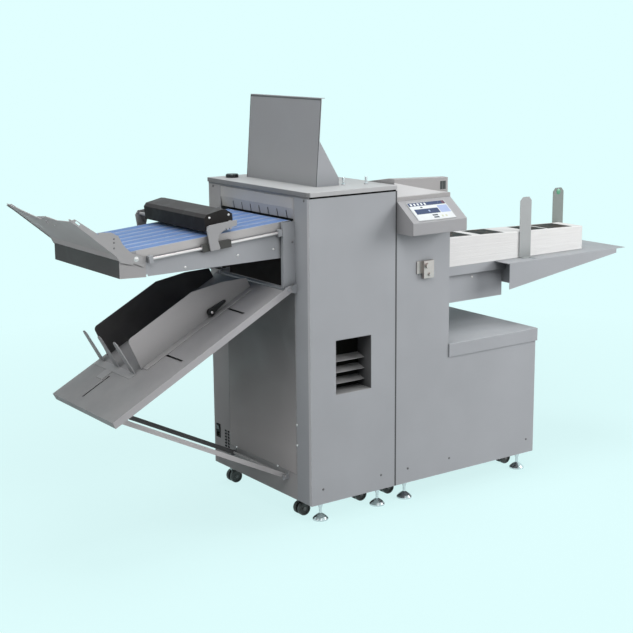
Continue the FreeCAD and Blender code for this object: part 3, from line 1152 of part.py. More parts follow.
def castor_wheels():
    """Eight twin wheels, each pair on one axle through its leg."""
    for where, x in CASTORS:
        for end, y, height in (("front", "castor_y0", "wheel_r + lift"),
                               ("rear", "castor_y1", "wheel_r")):
            name = "wheels_%s_%s" % (where, end)
            centre = x + " + trail"
            pieces = [rod(name + "_axle", [centre, y + " - hub_gap - wheel_w", height], "axle_r",
                          "2 * (hub_gap + wheel_w)"),
                      rod(name + "_near", [centre, y + " - hub_gap - wheel_w", height], "wheel_r",
                          "wheel_w"),
                      rod(name + "_far", [centre, y + " + hub_gap", height], "wheel_r", "wheel_w")]
            finish(move(join(name + "_solid", pieces)), name)


def levelling_feet():
    """Four levelling feet at the operator's side: domed pad, stud and sleeve nut."""
    pieces = []
    for i, x in enumerate(("86", "(tower_l - 25)", "(feeder_x0 + 97)", "(cabinet_x1 - 15)")):
        body = doc.addObject("PartDesign::Body", "foot_%d" % i)
        profile = draw(body, "foot_profile_%d" % i, "xz",
                       [[("0", "0"), ("foot_r", "0"), ("foot_r", "5"), ("foot_r - 6", "12"),
                         ("foot_r - 15", "19"), ("stud_r", "24"), ("stud_r", "40"), ("9", "54"),
                         ("10", "skirt_z - 12"), ("10", "skirt_z"), ("0", "skirt_z")]])
        turn = body.newObject("PartDesign::Revolution", "foot_turn_%d" % i)
        turn.Profile = profile
        turn.ReferenceAxis = (profile, ["V_Axis"])
        turn.Angle = 360
        body.Tip = turn
        bind(body, "Placement.Base.x", x)
        bind(body, "Placement.Base.y", "foot_y")
        pieces.append(body)
    return finish(move(join("feet", pieces)), "levelling_feet")


def build():
    """Model every sub-part, then check and export them."""
    fill_sheet()
    for make in (tower_chassis, tower_front_panel, vent_louvre, tower_wrap, service_panel, top_lid,
                 sheet_stand, lid_knob, exit_flap, fold_rollers, crease_blade, mains_inlet,
                 rocker_switch, delivery_frame, delivery_belts, belt_rollers, guide_rods,
                 wall_brackets, end_cap, press_housing, press_brackets, press_rollers, catch_tray,
                 lower_tray, tray_guides, clamp_lever, end_stop, tray_strut, feeder_front,
                 feeder_carcass, cabinet_lid, column_top_cover, console_housing, touch_screen,
                 door_latch, feed_drum, feed_table, feed_extension, side_guides, paper_stack,
                 castor_mounts, swivel_legs, castor_wheels, levelling_feet):
        make()
    thumb_screw("thumb_screw_a", "screw_a_x", "screw_a_y")
    thumb_screw("thumb_screw_b", "screw_b_x", "screw_b_y")
    doc.recompute()
    for obj in doc.Objects:
        if "Invalid" in obj.State or "Error" in obj.State:
            raise RuntimeError("%s did not build: %s" % (obj.Name, obj.State))
    os.makedirs("parts", exist_ok=True)
    for name, obj in PARTS:
        shape = obj.Shape
        if shape.isNull() or not shape.isValid() or shape.Volume <= 0:
            raise RuntimeError("%s has no sound solid" % name)
        shape.exportStep("parts/%s.step" % name)


build()
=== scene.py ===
"""Looks of a floor-standing paper folding machine: finishes, small fittings, studio and camera.

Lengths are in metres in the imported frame: X runs from delivery to feed, Y from the
operator's side to the back, and Z up from the floor.
"""

from __future__ import annotations

import json
import logging
import math
import random
from contextlib import contextmanager
from dataclasses import dataclass, field
from enum import Enum
from typing import Any, Callable, Iterable, Iterator, Sequence

import bmesh
import bpy
from mathutils import Matrix, Vector

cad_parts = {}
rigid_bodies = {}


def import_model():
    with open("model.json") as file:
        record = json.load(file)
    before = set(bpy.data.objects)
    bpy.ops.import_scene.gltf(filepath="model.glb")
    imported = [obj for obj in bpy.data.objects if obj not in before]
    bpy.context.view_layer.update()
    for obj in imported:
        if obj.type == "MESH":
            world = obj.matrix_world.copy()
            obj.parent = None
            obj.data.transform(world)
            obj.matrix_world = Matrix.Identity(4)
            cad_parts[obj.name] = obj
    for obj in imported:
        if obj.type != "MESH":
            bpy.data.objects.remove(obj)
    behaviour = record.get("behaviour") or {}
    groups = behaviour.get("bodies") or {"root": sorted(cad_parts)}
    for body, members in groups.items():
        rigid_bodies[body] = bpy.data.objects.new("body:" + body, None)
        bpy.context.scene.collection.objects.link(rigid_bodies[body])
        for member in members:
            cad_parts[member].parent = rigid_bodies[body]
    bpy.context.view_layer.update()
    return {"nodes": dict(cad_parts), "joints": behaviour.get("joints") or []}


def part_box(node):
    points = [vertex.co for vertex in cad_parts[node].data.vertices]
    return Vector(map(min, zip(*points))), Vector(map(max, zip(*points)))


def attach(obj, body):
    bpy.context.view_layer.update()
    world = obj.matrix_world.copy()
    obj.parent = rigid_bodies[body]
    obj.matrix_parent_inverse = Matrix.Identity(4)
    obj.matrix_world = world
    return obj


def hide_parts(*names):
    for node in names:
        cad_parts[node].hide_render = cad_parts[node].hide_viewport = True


for leftover in list(bpy.data.objects):
    bpy.data.objects.remove(leftover, do_unlink=True)

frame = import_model()

LOG = logging.getLogger("folding_machine")
AHEAD = Vector((0.0, -1.0, 0.0))
LEFT = Vector((-1.0, 0.0, 0.0))
RIGHT = Vector((1.0, 0.0, 0.0))
BEHIND = Vector((0.0, 1.0, 0.0))
UP = Vector((0.0, 0.0, 1.0))
Colour = tuple[float, float, float]
Point = Sequence[float]


def rgba(colour: Colour) -> tuple[float, float, float, float]:
    """Opaque colour with its fourth channel."""
    return (*colour, 1.0)


def shade(colour: Colour, factor: float) -> Colour:
    """The colour made darker or lighter by a factor."""
    return tuple(min(channel * factor, 1.0) for channel in colour)


# ---------------------------------------------------------------- shader wiring


class Graph:
    """Wires shader nodes in one node tree."""

    def __init__(self, tree: bpy.types.NodeTree) -> None:
        """Keep the tree that the nodes go into.

        Args:
            tree: material or group node tree.
        """
        self.tree = tree

    def node(self, kind: str, inputs: dict[Any, Any] | None = None, **settings: Any) -> bpy.types.Node:
        """Add a node, set its attributes and feed its inputs.

        Args:
            kind: Blender's name of the node type, without its ShaderNode prefix.
            inputs: value or output socket for each input, by name or index.
            settings: attributes of the node itself.

        Returns:
            The new node.
        """
        made = self.tree.nodes.new("ShaderNode" + kind)
        for name, value in settings.items():
            setattr(made, name, value)
        for key, value in (inputs or {}).items():
            self.feed(made.inputs[key], value)
        return made

    def feed(self, socket: bpy.types.NodeSocket, value: Any) -> None:
        """Link an output socket to an input, or set a plain value on it.

        Args:
            socket: input to feed.
            value: output socket or constant.
        """
        if isinstance(value, bpy.types.NodeSocket):
            self.tree.links.new(value, socket)
        else:
            socket.default_value = value

    def math(self, operation: str, first: Any, second: Any = 0.0, clamp: bool = False) -> Any:
        """Result of one arithmetic step.

        Args:
            operation: Blender's name of the operation.
            first: first value or socket.
            second: second value or socket.
            clamp: keep the result between 0 and 1.

        Returns:
            The output socket.
        """
        return self.node("Math", {0: first, 1: second}, operation=operation, use_clamp=clamp).outputs[0]

    def fit(self, value: Any, low: float, high: float, new_low: float = 0.0, new_high: float = 1.0) -> Any:
        """Map a value from one range to another, clamped.

        Args:
            value: socket to map.
            low: value that becomes new_low.
            high: value that becomes new_high.
            new_low: result at low.
            new_high: result at high.

        Returns:
            The output socket.
        """
        inputs = {0: value, 1: low, 2: high, 3: new_low, 4: new_high}
        return self.node("MapRange", inputs).outputs[0]

    def blend(self, factor: Any, first: Any, second: Any) -> Any:
        """Mix two colours.

        Args:
            factor: share of the second colour.
            first: colour or socket at 0.
            second: colour or socket at 1.

        Returns:
            The colour socket.
        """
        mix = self.node("Mix", {"Factor": factor}, data_type="RGBA")
        colours = [s for s in mix.inputs if s.type == "RGBA"]
        self.feed(colours[0], first)
        self.feed(colours[1], second)
        return next(s for s in mix.outputs if s.type == "RGBA")

    def noise(self, scale: float, detail: float = 3.0, vector: Any = None, roughness: float = 0.5) -> Any:
        """Value of a noise texture in the piece's own coordinates.

        Args:
            scale: features per metre.
            detail: octaves.
            vector: coordinates, or none for the piece's own.
            roughness: weight of the finer octaves.

        Returns:
            The value socket.
        """
        where = vector or self.own_place()
        inputs = {"Vector": where, "Scale": scale, "Detail": detail, "Roughness": roughness}
        return self.node("TexNoise", inputs).outputs[0]

    def own_place(self) -> Any:
        """Coordinates of the piece itself, in metres."""
        return self.node("TexCoord").outputs["Object"]

    def stretched(self, scale: Point) -> Any:
        """The piece's coordinates, scaled per axis."""
        return self.node("Mapping", {"Vector": self.own_place(), "Scale": tuple(scale)}).outputs[0]

    def bump(self, height: Any, distance: float, strength: float) -> Any:
        """Normal of a height pattern.

        Args:
            height: height socket, 0 to 1.
            distance: metres that a height of 1 stands for.
            strength: how much of it shows.

        Returns:
            The normal socket.
        """
        inputs = {"Height": height, "Distance": distance, "Strength": strength}
        return self.node("Bump", inputs).outputs[0]

    def group(self, tree: bpy.types.NodeTree, **inputs: Any) -> bpy.types.Node:
        """Place a shared effect with this material's own values.

        Args:
            tree: the effect's node group.
            inputs: value of each named input.

        Returns:
            The group node.
        """
        made = self.tree.nodes.new("ShaderNodeGroup")
        made.node_tree = tree
        for name, value in inputs.items():
            self.feed(made.inputs[name], value)
        return made

    def drift(self, tone: Any, colour: Colour, low: float, high: float) -> Any:
        """Let a colour drift between a darker and a lighter shade of itself.

        Args:
            tone: share of the lighter shade.
            colour: the colour in the middle.
            low: factor of the darker shade.
            high: factor of the lighter shade.

        Returns:
            The colour socket.
        """
        return self.blend(tone, rgba(shade(colour, low)), rgba(shade(colour, high)))

    def over(self, body: Any, effect: bpy.types.NodeTree, colour: Colour, **inputs: Any) -> Any:
        """Lay a colour over the body where a shared effect's mask shows it.

        Args:
            body: colour socket below.
            effect: the effect's node group, with a Mask output.
            colour: colour on top.
            inputs: value of each named input of the effect.

        Returns:
            The colour socket.
        """
        return self.blend(self.group(effect, **inputs).outputs["Mask"], body, rgba(colour))

    def handled(self, effects: Effects, scale: float, clean: float, rubbed: float) -> Any:
        """Roughness that changes where hands and cloths have been.

        Args:
            effects: shared effect groups.
            scale: marks per metre.
            clean: roughness of the untouched surface.
            rubbed: roughness of the marks.

        Returns:
            The roughness socket.
        """
        marks = self.group(effects.smudges, Scale=scale, Amount=1.0).outputs["Mask"]
        return self.fit(marks, 0.0, 1.0, clean, rubbed)

    def surface(self, colour: Any, roughness: Any, normal: Any, **more: float) -> bpy.types.Node:
        """Principled shader of a colour, a roughness and a normal.

        Args:
            colour: base colour socket.
            roughness: roughness socket or value.
            normal: normal socket.
            more: values of further inputs, with an underscore for each space of their names.

        Returns:
            The shader node.
        """
        inputs = {"Base Color": colour, "Roughness": roughness, "Normal": normal}
        inputs |= {name.replace("_", " "): value for name, value in more.items()}
        return self.node("BsdfPrincipled", inputs)


class Effects:
    """Shader node groups that several finishes share, each built once."""

    def __init__(self) -> None:
        """Build every shared effect."""
        self.edge_wear = self._edge_wear()
        self.grain = self._grain()
        self.dust = self._dust()
        self.smudges = self._smudges()
        self.brushed = self._brushed()
        self.weave = self._weave()
        self.facing = self._facing()
        self.recess_shade = self._recess_shade_mask()
        self.height_shade = self._height_shade_mask()

    @staticmethod
    def _open(name: str, inputs: dict[str, Any], outputs: Iterable[str]) -> tuple[Graph, Any, Any]:
        """Start a node group with named sockets.

        Args:
            name: name of the group.
            inputs: default of each input; a triple makes a vector input.
            outputs: names of the value outputs.

        Returns:
            The graph, its input node's outputs and its output node's inputs.
        """
        tree = bpy.data.node_groups.new(name, "ShaderNodeTree")
        for label, value in inputs.items():
            kind = "NodeSocketVector" if isinstance(value, tuple) else "NodeSocketFloat"
            socket = tree.interface.new_socket(name=label, in_out="INPUT", socket_type=kind)
            socket.default_value = value
        for label in outputs:
            tree.interface.new_socket(name=label, in_out="OUTPUT", socket_type="NodeSocketFloat")
        given = tree.nodes.new("NodeGroupInput").outputs
        result = tree.nodes.new("NodeGroupOutput").inputs
        return Graph(tree), given, result

    def _edge_wear(self) -> bpy.types.NodeTree:
        """Mask of convex edges where handling has thinned the finish."""
        graph, given, result = self._open(
            "edge_wear", {"Radius": 0.002, "Amount": 0.5, "Scale": 60.0}, ["Mask"])
        bevel = graph.node("Bevel", {"Radius": given["Radius"]}, samples=4)
        plain = graph.node("NewGeometry").outputs["Normal"]
        dot = graph.node("VectorMath", {0: bevel.outputs[0], 1: plain}, operation="DOT_PRODUCT")
        edge = graph.fit(dot.outputs["Value"], 0.995, 0.86)
        patches = graph.fit(graph.noise(given["Scale"], 5.0), 0.38, 0.66)
        worn = graph.math("MULTIPLY", edge, patches)
        graph.feed(result["Mask"], graph.math("MULTIPLY", worn, given["Amount"], True))
        return graph.tree

    def _recess_shade_mask(self) -> bpy.types.NodeTree:
        """Mask of painted shade in corners and sheltered recesses, read from ambient occlusion."""
        graph, given, result = self._open("painted_recess_shade", {"Reach": 0.15, "Amount": 0.8}, ["Mask"])
        occlusion = graph.node("AmbientOcclusion", {"Distance": given["Reach"]}, samples=6)
        mask = graph.fit(occlusion.outputs["AO"], 0.78, 0.2)
        graph.feed(result["Mask"], graph.math("MULTIPLY", mask, given["Amount"], True))
        return graph.tree

    def _height_shade_mask(self) -> bpy.types.NodeTree:
        """Mask that rises from one height of the machine to another, for painted shade."""
        graph, given, result = self._open("height_shade", {"Low": 0.2, "High": 0.8, "Amount": 1.0}, ["Mask"])
        place = graph.node("NewGeometry").outputs["Position"]
        height = graph.node("SeparateXYZ", {0: place}).outputs["Z"]
        over = graph.math("SUBTRACT", height, given["Low"])
        span = graph.math("SUBTRACT", given["High"], given["Low"])
        share = graph.math("DIVIDE", over, span, True)
        graph.feed(result["Mask"], graph.math("MULTIPLY", share, given["Amount"], True))
        return graph.tree

    def _grain(self) -> bpy.types.NodeTree:
        """Fine pebbled texture with a slow drift of tone."""
        graph, given, result = self._open("fine_grain", {"Scale": 900.0, "Drift": 4.0}, ["Height", "Tone"])
        pebbles = graph.node("TexVoronoi", {"Vector": graph.own_place(), "Scale": given["Scale"]},
                             feature="SMOOTH_F1")
        ripple = graph.noise(graph.math("MULTIPLY", given["Scale"], 0.35), 2.0)
        both = graph.math("ADD", graph.math("MULTIPLY", pebbles.outputs[0], 0.6),
                          graph.math("MULTIPLY", ripple, 0.6))
        graph.feed(result["Height"], both)
        graph.feed(result["Tone"], graph.noise(given["Drift"], 4.0))
        return graph.tree

    def _dust(self) -> bpy.types.NodeTree:
        """Mask of the faint dust that settles on surfaces facing up."""
        graph, given, result = self._open("settled_dust", {"Amount": 0.2, "Scale": 25.0}, ["Mask"])
        normal = graph.node("NewGeometry").outputs["Normal"]
        rise = graph.node("SeparateXYZ", {0: normal}).outputs["Z"]
        flat = graph.fit(rise, 0.55, 0.98)
        cloud = graph.fit(graph.noise(given["Scale"], 6.0, roughness=0.62), 0.35, 0.75)
        graph.feed(result["Mask"], graph.math("MULTIPLY", graph.math("MULTIPLY", flat, cloud),
                                              given["Amount"], True))
        return graph.tree

    def _smudges(self) -> bpy.types.NodeTree:
        """Mask of soft marks from hands and cloths."""
        graph, given, result = self._open("hand_smudges", {"Scale": 9.0, "Amount": 0.5}, ["Mask"])
        swirl = graph.node("TexNoise", {"Vector": graph.own_place(), "Scale": given["Scale"],
                                        "Detail": 5.0, "Distortion": 0.8}).outputs[0]
        marks = graph.fit(swirl, 0.46, 0.7)
        graph.feed(result["Mask"], graph.math("MULTIPLY", marks, given["Amount"], True))
        return graph.tree

    def _brushed(self) -> bpy.types.NodeTree:
        """Fine parallel lines along X, as left by grinding and rolling."""
        graph, given, result = self._open("brushed_lines", {"Pitch": 1800.0, "Run": 12.0}, ["Height", "Tone"])
        scale = graph.node("CombineXYZ", {"X": given["Run"], "Y": given["Pitch"], "Z": given["Pitch"]})
        place = graph.node("VectorMath", {0: graph.own_place(), 1: scale.outputs[0]}, operation="MULTIPLY")
        lines = graph.noise(1.0, 3.0, place.outputs[0], 0.7)
        graph.feed(result["Height"], lines)
        graph.feed(result["Tone"], graph.fit(lines, 0.3, 0.7))
        return graph.tree

    def _weave(self) -> bpy.types.NodeTree:
        """Plain weave in the X-Y plane."""
        graph, given, result = self._open("plain_weave", {"Pitch": 700.0}, ["Height", "Tone"])
        place = graph.node("SeparateXYZ", {0: graph.own_place()})
        turns = graph.math("MULTIPLY", given["Pitch"], math.tau / 2.0)
        warp = graph.math("SINE", graph.math("MULTIPLY", place.outputs["X"], turns))
        weft = graph.math("SINE", graph.math("MULTIPLY", place.outputs["Y"], turns))
        over = graph.math("MULTIPLY", warp, weft)
        graph.feed(result["Height"], graph.fit(over, -1.0, 1.0))
        fibre = graph.noise(1.0, 4.0, graph.stretched((350.0, 60.0, 350.0)), 0.7)
        graph.feed(result["Tone"], fibre)
        return graph.tree

    def _facing(self) -> bpy.types.NodeTree:
        """Mask of the faces that look a given way on the piece itself."""
        graph, given, result = self._open("facing", {"Direction": (0.0, 0.0, 1.0)}, ["Mask"])
        own = graph.node("TexCoord").outputs["Normal"]
        dot = graph.node("VectorMath", {0: own, 1: given["Direction"]}, operation="DOT_PRODUCT")
        graph.feed(result["Mask"], graph.fit(dot.outputs["Value"], 0.45, 0.75))
        return graph.tree


# ---------------------------------------------------------------- finishes


@dataclass(frozen=True)
class Finish:
    """Base of every finish: a name and a way to paint a Principled shader."""

    name: str

    def paint(self, graph: Graph, effects: Effects) -> bpy.types.Node:
        """Make the shader node.

        Args:
            graph: the material's graph.
            effects: shared effect groups.

        Returns:
            The shader node.
        """
        raise NotImplementedError

    def material(self, effects: Effects) -> bpy.types.Material:
        """The finish as a material, made once per name.

        Args:
            effects: shared effect groups.

        Returns:
            The material.
        """
        made = bpy.data.materials.get(self.name)
        if made is not None:
            return made
        made = bpy.data.materials.new(self.name)
        made.use_nodes = True
        made.node_tree.nodes.clear()
        graph = Graph(made.node_tree)
        shader = self.paint(graph, effects)
        graph.node("OutputMaterial", {"Surface": shader.outputs[0]})
        return made


@dataclass(frozen=True)
class PowderCoat(Finish):
    """Fine-texture powder coat on sheet steel."""

    tone: Colour = (0.445, 0.462, 0.488)
    side_tone_and_lighting: Colour | None = None
    side: tuple[float, float, float] = (-1.0, 0.0, 0.0)
    height_shade: tuple[float, float, float] | None = None
    recess_shade: float = 0.75
    roughness: float = 0.58
    pebble: float = 0.00009
    wear: float = 0.55
    dust: float = 0.16

    def paint(self, graph: Graph, effects: Effects) -> bpy.types.Node:
        """Tone drift, painted light and shade by side, height and recess, thin edges, dust and smudges over a
        pebbled coat.
        """
        grain = graph.group(effects.grain, Scale=760.0, Drift=3.5)
        drift = graph.fit(grain.outputs["Tone"], 0.3, 0.7)
        body = graph.drift(drift, self.tone, 0.955, 1.035)
        # Faces that look the given side way take their own tone: a painted lighter or darker side on most
        # finishes, real two-tone paint on the end cap.
        if self.side_tone_and_lighting is not None:
            body = graph.over(body, effects.facing, self.side_tone_and_lighting, Direction=self.side)
        # Painted shadow: the coat darkens from one height towards another.
        if self.height_shade is not None:
            low, high, amount = self.height_shade
            body = graph.over(body, effects.height_shade, shade(self.tone, 0.2), Low=low, High=high, Amount=amount)
        # Painted shade: the coat darkens in corners and recesses, where ambient occlusion finds shelter.
        body = graph.over(body, effects.recess_shade, shade(self.tone, 0.16), Reach=0.1, Amount=self.recess_shade)
        body = graph.over(body, effects.edge_wear, shade(self.tone, 1.45), Radius=0.0022, Amount=self.wear,
                          Scale=45.0)
        body = graph.over(body, effects.dust, (0.62, 0.61, 0.58), Amount=self.dust, Scale=18.0)
        gloss = graph.handled(effects, 7.0, self.roughness + 0.05, self.roughness - 0.1)
        normal = graph.bump(grain.outputs["Height"], self.pebble, 0.5)
        return graph.surface(body, gloss, normal, Specular_IOR_Level=0.25)


@dataclass(frozen=True)
class BlackPaint(Finish):
    """Matt black paint on sheet metal, with bright scratches on its edges."""

    tone: Colour = (0.024, 0.024, 0.025)
    roughness: float = 0.5

    def paint(self, graph: Graph, effects: Effects) -> bpy.types.Node:
        """Dark body, grey edges and paper dust."""
        grain = graph.group(effects.grain, Scale=1100.0, Drift=9.0)
        body = graph.drift(grain.outputs["Tone"], self.tone, 0.7, 1.5)
        body = graph.over(body, effects.edge_wear, (0.28, 0.28, 0.29), Radius=0.0015, Amount=0.9, Scale=80.0)
        body = graph.over(body, effects.dust, (0.4, 0.4, 0.39), Amount=0.12, Scale=30.0)
        gloss = graph.handled(effects, 14.0, self.roughness + 0.08, self.roughness - 0.12)
        normal = graph.bump(grain.outputs["Height"], 0.00006, 0.5)
        return graph.surface(body, gloss, normal, Specular_IOR_Level=0.3)


@dataclass(frozen=True)
class MouldedPlastic(Finish):
    """Moulded plastic with a spark-eroded grain."""

    tone: Colour = (0.028, 0.028, 0.031)
    roughness: float = 0.38
    lit_top_tone: Colour | None = None
    grain_size: float = 1500.0
    shine: float = 0.4
    coat: float = 0.06

    def paint(self, graph: Graph, effects: Effects) -> bpy.types.Node:
        """Grained body, rubbed edges and, where asked, a lighter top of painted light."""
        grain = graph.group(effects.grain, Scale=self.grain_size, Drift=12.0)
        body = graph.drift(grain.outputs["Tone"], self.tone, 0.8, 1.25)
        # Painted light: top faces take a lighter tone.
        if self.lit_top_tone is not None:
            body = graph.over(body, effects.facing, self.lit_top_tone, Direction=(0.0, 0.0, 1.0))
        body = graph.over(body, effects.edge_wear, shade(self.tone, 2.6), Radius=0.0012, Amount=0.5,
                          Scale=120.0)
        gloss = graph.handled(effects, 20.0, self.roughness + 0.06, self.roughness - 0.1)
        normal = graph.bump(grain.outputs["Height"], 0.00005, 0.45)
        return graph.surface(body, gloss, normal, Specular_IOR_Level=self.shine, Coat_Weight=self.coat,
                             Coat_Roughness=0.3)


@dataclass(frozen=True)
class BeltFabric(Finish):
    """Woven-faced conveyor belt, polished in the middle by the paper."""

    tone: Colour = (0.125, 0.245, 0.56)
    rub: Colour = (0.2, 0.33, 0.64)
    pale_edge: Colour = (0.46, 0.52, 0.68)
    first_edge: float = -0.162
    pitch: float = 0.0553
    width: float = 0.05

    def _border(self, graph: Graph) -> Any:
        """Mask of the pale strips along both sides of every belt.

        Args:
            graph: the material's graph.

        Returns:
            The mask socket.
        """
        across = graph.node("SeparateXYZ", {0: graph.own_place()}).outputs["Y"]
        belts = graph.math("DIVIDE", graph.math("SUBTRACT", across, self.first_edge), self.pitch)
        place = graph.math("MULTIPLY", graph.math("FRACT", belts), self.pitch)
        off_middle = graph.math("ABSOLUTE", graph.math("SUBTRACT", place, self.width / 2.0))
        return graph.fit(off_middle, self.width * 0.4, self.width * 0.46, 0.0, 0.85)

    def paint(self, graph: Graph, effects: Effects) -> bpy.types.Node:
        """Weave, fibre streaks, paper rub and painted shade in the weave's low points."""
        weave = graph.group(effects.weave, Pitch=620.0)
        streak = graph.fit(weave.outputs["Tone"], 0.3, 0.72)
        body = graph.drift(streak, self.tone, 0.84, 1.14)
        rub = graph.fit(graph.noise(1.0, 4.0, graph.stretched((3.0, 40.0, 3.0))), 0.45, 0.72)
        body = graph.blend(rub, body, rgba(self.rub))
        # Painted shade: the weave's low points are darkened.
        crest = graph.fit(weave.outputs["Height"], 0.2, 1.0, 0.82, 1.0)
        painted_shade = graph.math("SUBTRACT", 1.0, crest)
        body = graph.blend(painted_shade, body, rgba(shade(self.tone, 0.25)))
        body = graph.blend(self._border(graph), body, rgba(self.pale_edge))
        normal = graph.bump(weave.outputs["Height"], 0.00016, 0.55)
        return graph.surface(body, 0.62, normal, Sheen_Weight=0.12, Sheen_Roughness=0.5)


@dataclass(frozen=True)
class GroundRubber(Finish):
    """Ground rubber of rollers and tyres."""

    tone: Colour = (0.032, 0.032, 0.034)
    roughness: float = 0.66

    def paint(self, graph: Graph, effects: Effects) -> bpy.types.Node:
        """Ground marks with pale paper dust or floor dust."""
        lines = graph.group(effects.brushed, Pitch=1300.0, Run=260.0)
        body = graph.drift(lines.outputs["Tone"], self.tone, 0.75, 1.4)
        cloud = graph.fit(graph.noise(60.0, 6.0, roughness=0.65), 0.5, 0.8, 0.0, 0.22)
        body = graph.blend(cloud, body, (0.3, 0.3, 0.29, 1.0))
        gloss = graph.fit(lines.outputs["Tone"], 0.0, 1.0, self.roughness - 0.06, self.roughness + 0.1)
        normal = graph.bump(lines.outputs["Height"], 0.00008, 0.5)
        return graph.surface(body, gloss, normal)


@dataclass(frozen=True)
class PolishedMetal(Finish):
    """Chromed or ground steel."""

    tone: Colour = (0.72, 0.72, 0.74)
    roughness: float = 0.16
    tarnish: float = 0.25

    def paint(self, graph: Graph, effects: Effects) -> bpy.types.Node:
        """Fine lines, finger film and small dull spots."""
        lines = graph.group(effects.brushed, Pitch=2600.0, Run=25.0)
        film = graph.group(effects.smudges, Scale=30.0, Amount=self.tarnish)
        body = graph.blend(lines.outputs["Tone"], rgba(shade(self.tone, 0.93)), rgba(self.tone))
        body = graph.blend(film.outputs["Mask"], body, rgba(shade(self.tone, 0.62)))
        base = graph.fit(lines.outputs["Tone"], 0.0, 1.0, self.roughness, self.roughness + 0.07)
        gloss = graph.math("ADD", base, graph.math("MULTIPLY", film.outputs["Mask"], 0.5))
        normal = graph.bump(lines.outputs["Height"], 0.00002, 0.4)
        return graph.surface(body, gloss, normal, Metallic=1.0)


@dataclass(frozen=True)
class ZincPlate(Finish):
    """Passivated zinc plate with its cloudy spangle."""

    tone: Colour = (0.5, 0.5, 0.5)

    def paint(self, graph: Graph, effects: Effects) -> bpy.types.Node:
        """Cloudy grey metal with dull patches."""
        cells = graph.node("TexVoronoi", {"Vector": graph.own_place(), "Scale": 130.0}, feature="F1")
        spangle = graph.fit(cells.outputs[0], 0.1, 0.8)
        body = graph.drift(spangle, self.tone, 1.12, 0.86)
        body = graph.over(body, effects.smudges, (0.3, 0.3, 0.29), Scale=16.0, Amount=0.5)
        body = graph.over(body, effects.edge_wear, shade(self.tone, 1.5), Radius=0.0012, Amount=0.6,
                          Scale=90.0)
        gloss = graph.fit(spangle, 0.0, 1.0, 0.34, 0.48)
        normal = graph.bump(graph.noise(700.0, 3.0), 0.00004, 0.5)
        return graph.surface(body, gloss, normal, Metallic=0.85)


@dataclass(frozen=True)
class SmoothGloss(Finish):
    """Glossy glass or lacquer in one hue, with finger film."""

    tone: Colour = (0.02, 0.02, 0.03)
    roughness: float = 0.08
    coat: float = 0.6

    def paint(self, graph: Graph, effects: Effects) -> bpy.types.Node:
        """Hue with a trace of tone drift under a clear face."""
        drift = graph.noise(40.0, 2.0)
        body = graph.drift(drift, self.tone, 0.96, 1.05)
        gloss = graph.handled(effects, 45.0, self.roughness, self.roughness + 0.16)
        normal = graph.bump(graph.noise(320.0, 2.0), 0.00001, 0.3)
        return graph.surface(body, gloss, normal, Coat_Weight=self.coat, Coat_Roughness=0.05)


@dataclass(frozen=True)
class PaperEdges(Finish):
    """Uncoated white paper, seen in a pile."""

    tone: Colour = (0.93, 0.93, 0.925)

    def paint(self, graph: Graph, effects: Effects) -> bpy.types.Node:
        """Sheet lines on the sides and fibre on the faces."""
        sheets = graph.noise(1.0, 2.0, graph.stretched((6.0, 6.0, 2600.0)), 0.8)
        ream = graph.noise(1.0, 2.0, graph.stretched((2.0, 2.0, 160.0)), 0.6)
        flat = graph.group(effects.facing, Direction=(0.0, 0.0, 1.0))
        side = graph.math("SUBTRACT", 1.0, flat.outputs["Mask"])
        lines = graph.math("MULTIPLY", graph.fit(sheets, 0.42, 0.62), side)
        layer = graph.math("MULTIPLY", graph.fit(ream, 0.45, 0.7, 0.0, 0.6), side)
        body = graph.blend(lines, rgba(self.tone), rgba(shade(self.tone, 0.9)))
        body = graph.blend(layer, body, rgba(shade(self.tone, 0.94)))
        fibre = graph.noise(1600.0, 4.0)
        body = graph.blend(graph.fit(fibre, 0.3, 0.7, 0.0, 0.12), body, (0.8, 0.79, 0.76, 1.0))
        normal = graph.bump(sheets, 0.00025, 0.4)
        return graph.surface(body, 0.82, normal)


@dataclass(frozen=True)
class PrintedInk(Finish):
    """Dark ink block of a generic proof print: cloudy shades with a few warm flecks."""

    first: Colour = (0.009, 0.009, 0.01)
    second: Colour = (0.055, 0.04, 0.034)
    fleck: Colour = (0.3, 0.13, 0.08)

    def paint(self, graph: Graph, effects: Effects) -> bpy.types.Node:
        """Soft clouds of two inks with sparse flecks."""
        cloud = graph.fit(graph.noise(26.0, 3.0), 0.42, 0.62)
        body = graph.blend(cloud, rgba(self.first), rgba(self.second))
        dots = graph.fit(graph.noise(75.0, 2.0), 0.68, 0.74)
        body = graph.blend(dots, body, rgba(self.fleck))
        screen = graph.node("TexVoronoi", {"Vector": graph.own_place(), "Scale": 1400.0})
        normal = graph.bump(screen.outputs[0], 0.00002, 0.3)
        gloss = graph.handled(effects, 30.0, 0.6, 0.75)
        return graph.surface(body, gloss, normal, Specular_IOR_Level=0.12)


def recess_black(name: str, tone: Colour, roughness: float = 0.8, shine: float = 0.05) -> MouldedPlastic:
    """Matt black without a clear face: black plastic, and painted shade in recesses, slots and gaps."""
    return MouldedPlastic(name, tone=tone, roughness=roughness, shine=shine, coat=0.0)


# ---------------------------------------------------------------- geometry


def rectangle(low: Point, high: Point) -> list[tuple[float, float]]:
    """Four corners, in order, of the rectangle between a low and a high one."""
    return [(low[0], low[1]), (high[0], low[1]), (high[0], high[1]), (low[0], high[1])]


def both_sides(places: Iterable[Point], near_y: float, far_y: float) -> list[tuple[Vector, Vector]]:
    """Surface point and outward direction of the same X-Z places on the near and the far side."""
    sides = ((near_y, AHEAD), (far_y, BEHIND))
    return [(Vector((x, y, z)), out) for y, out in sides for x, z in places]


class Drive(Enum):
    """Recess in a screw's head."""

    HEX = "hex"
    CROSS = "cross"
    PLAIN = "plain"


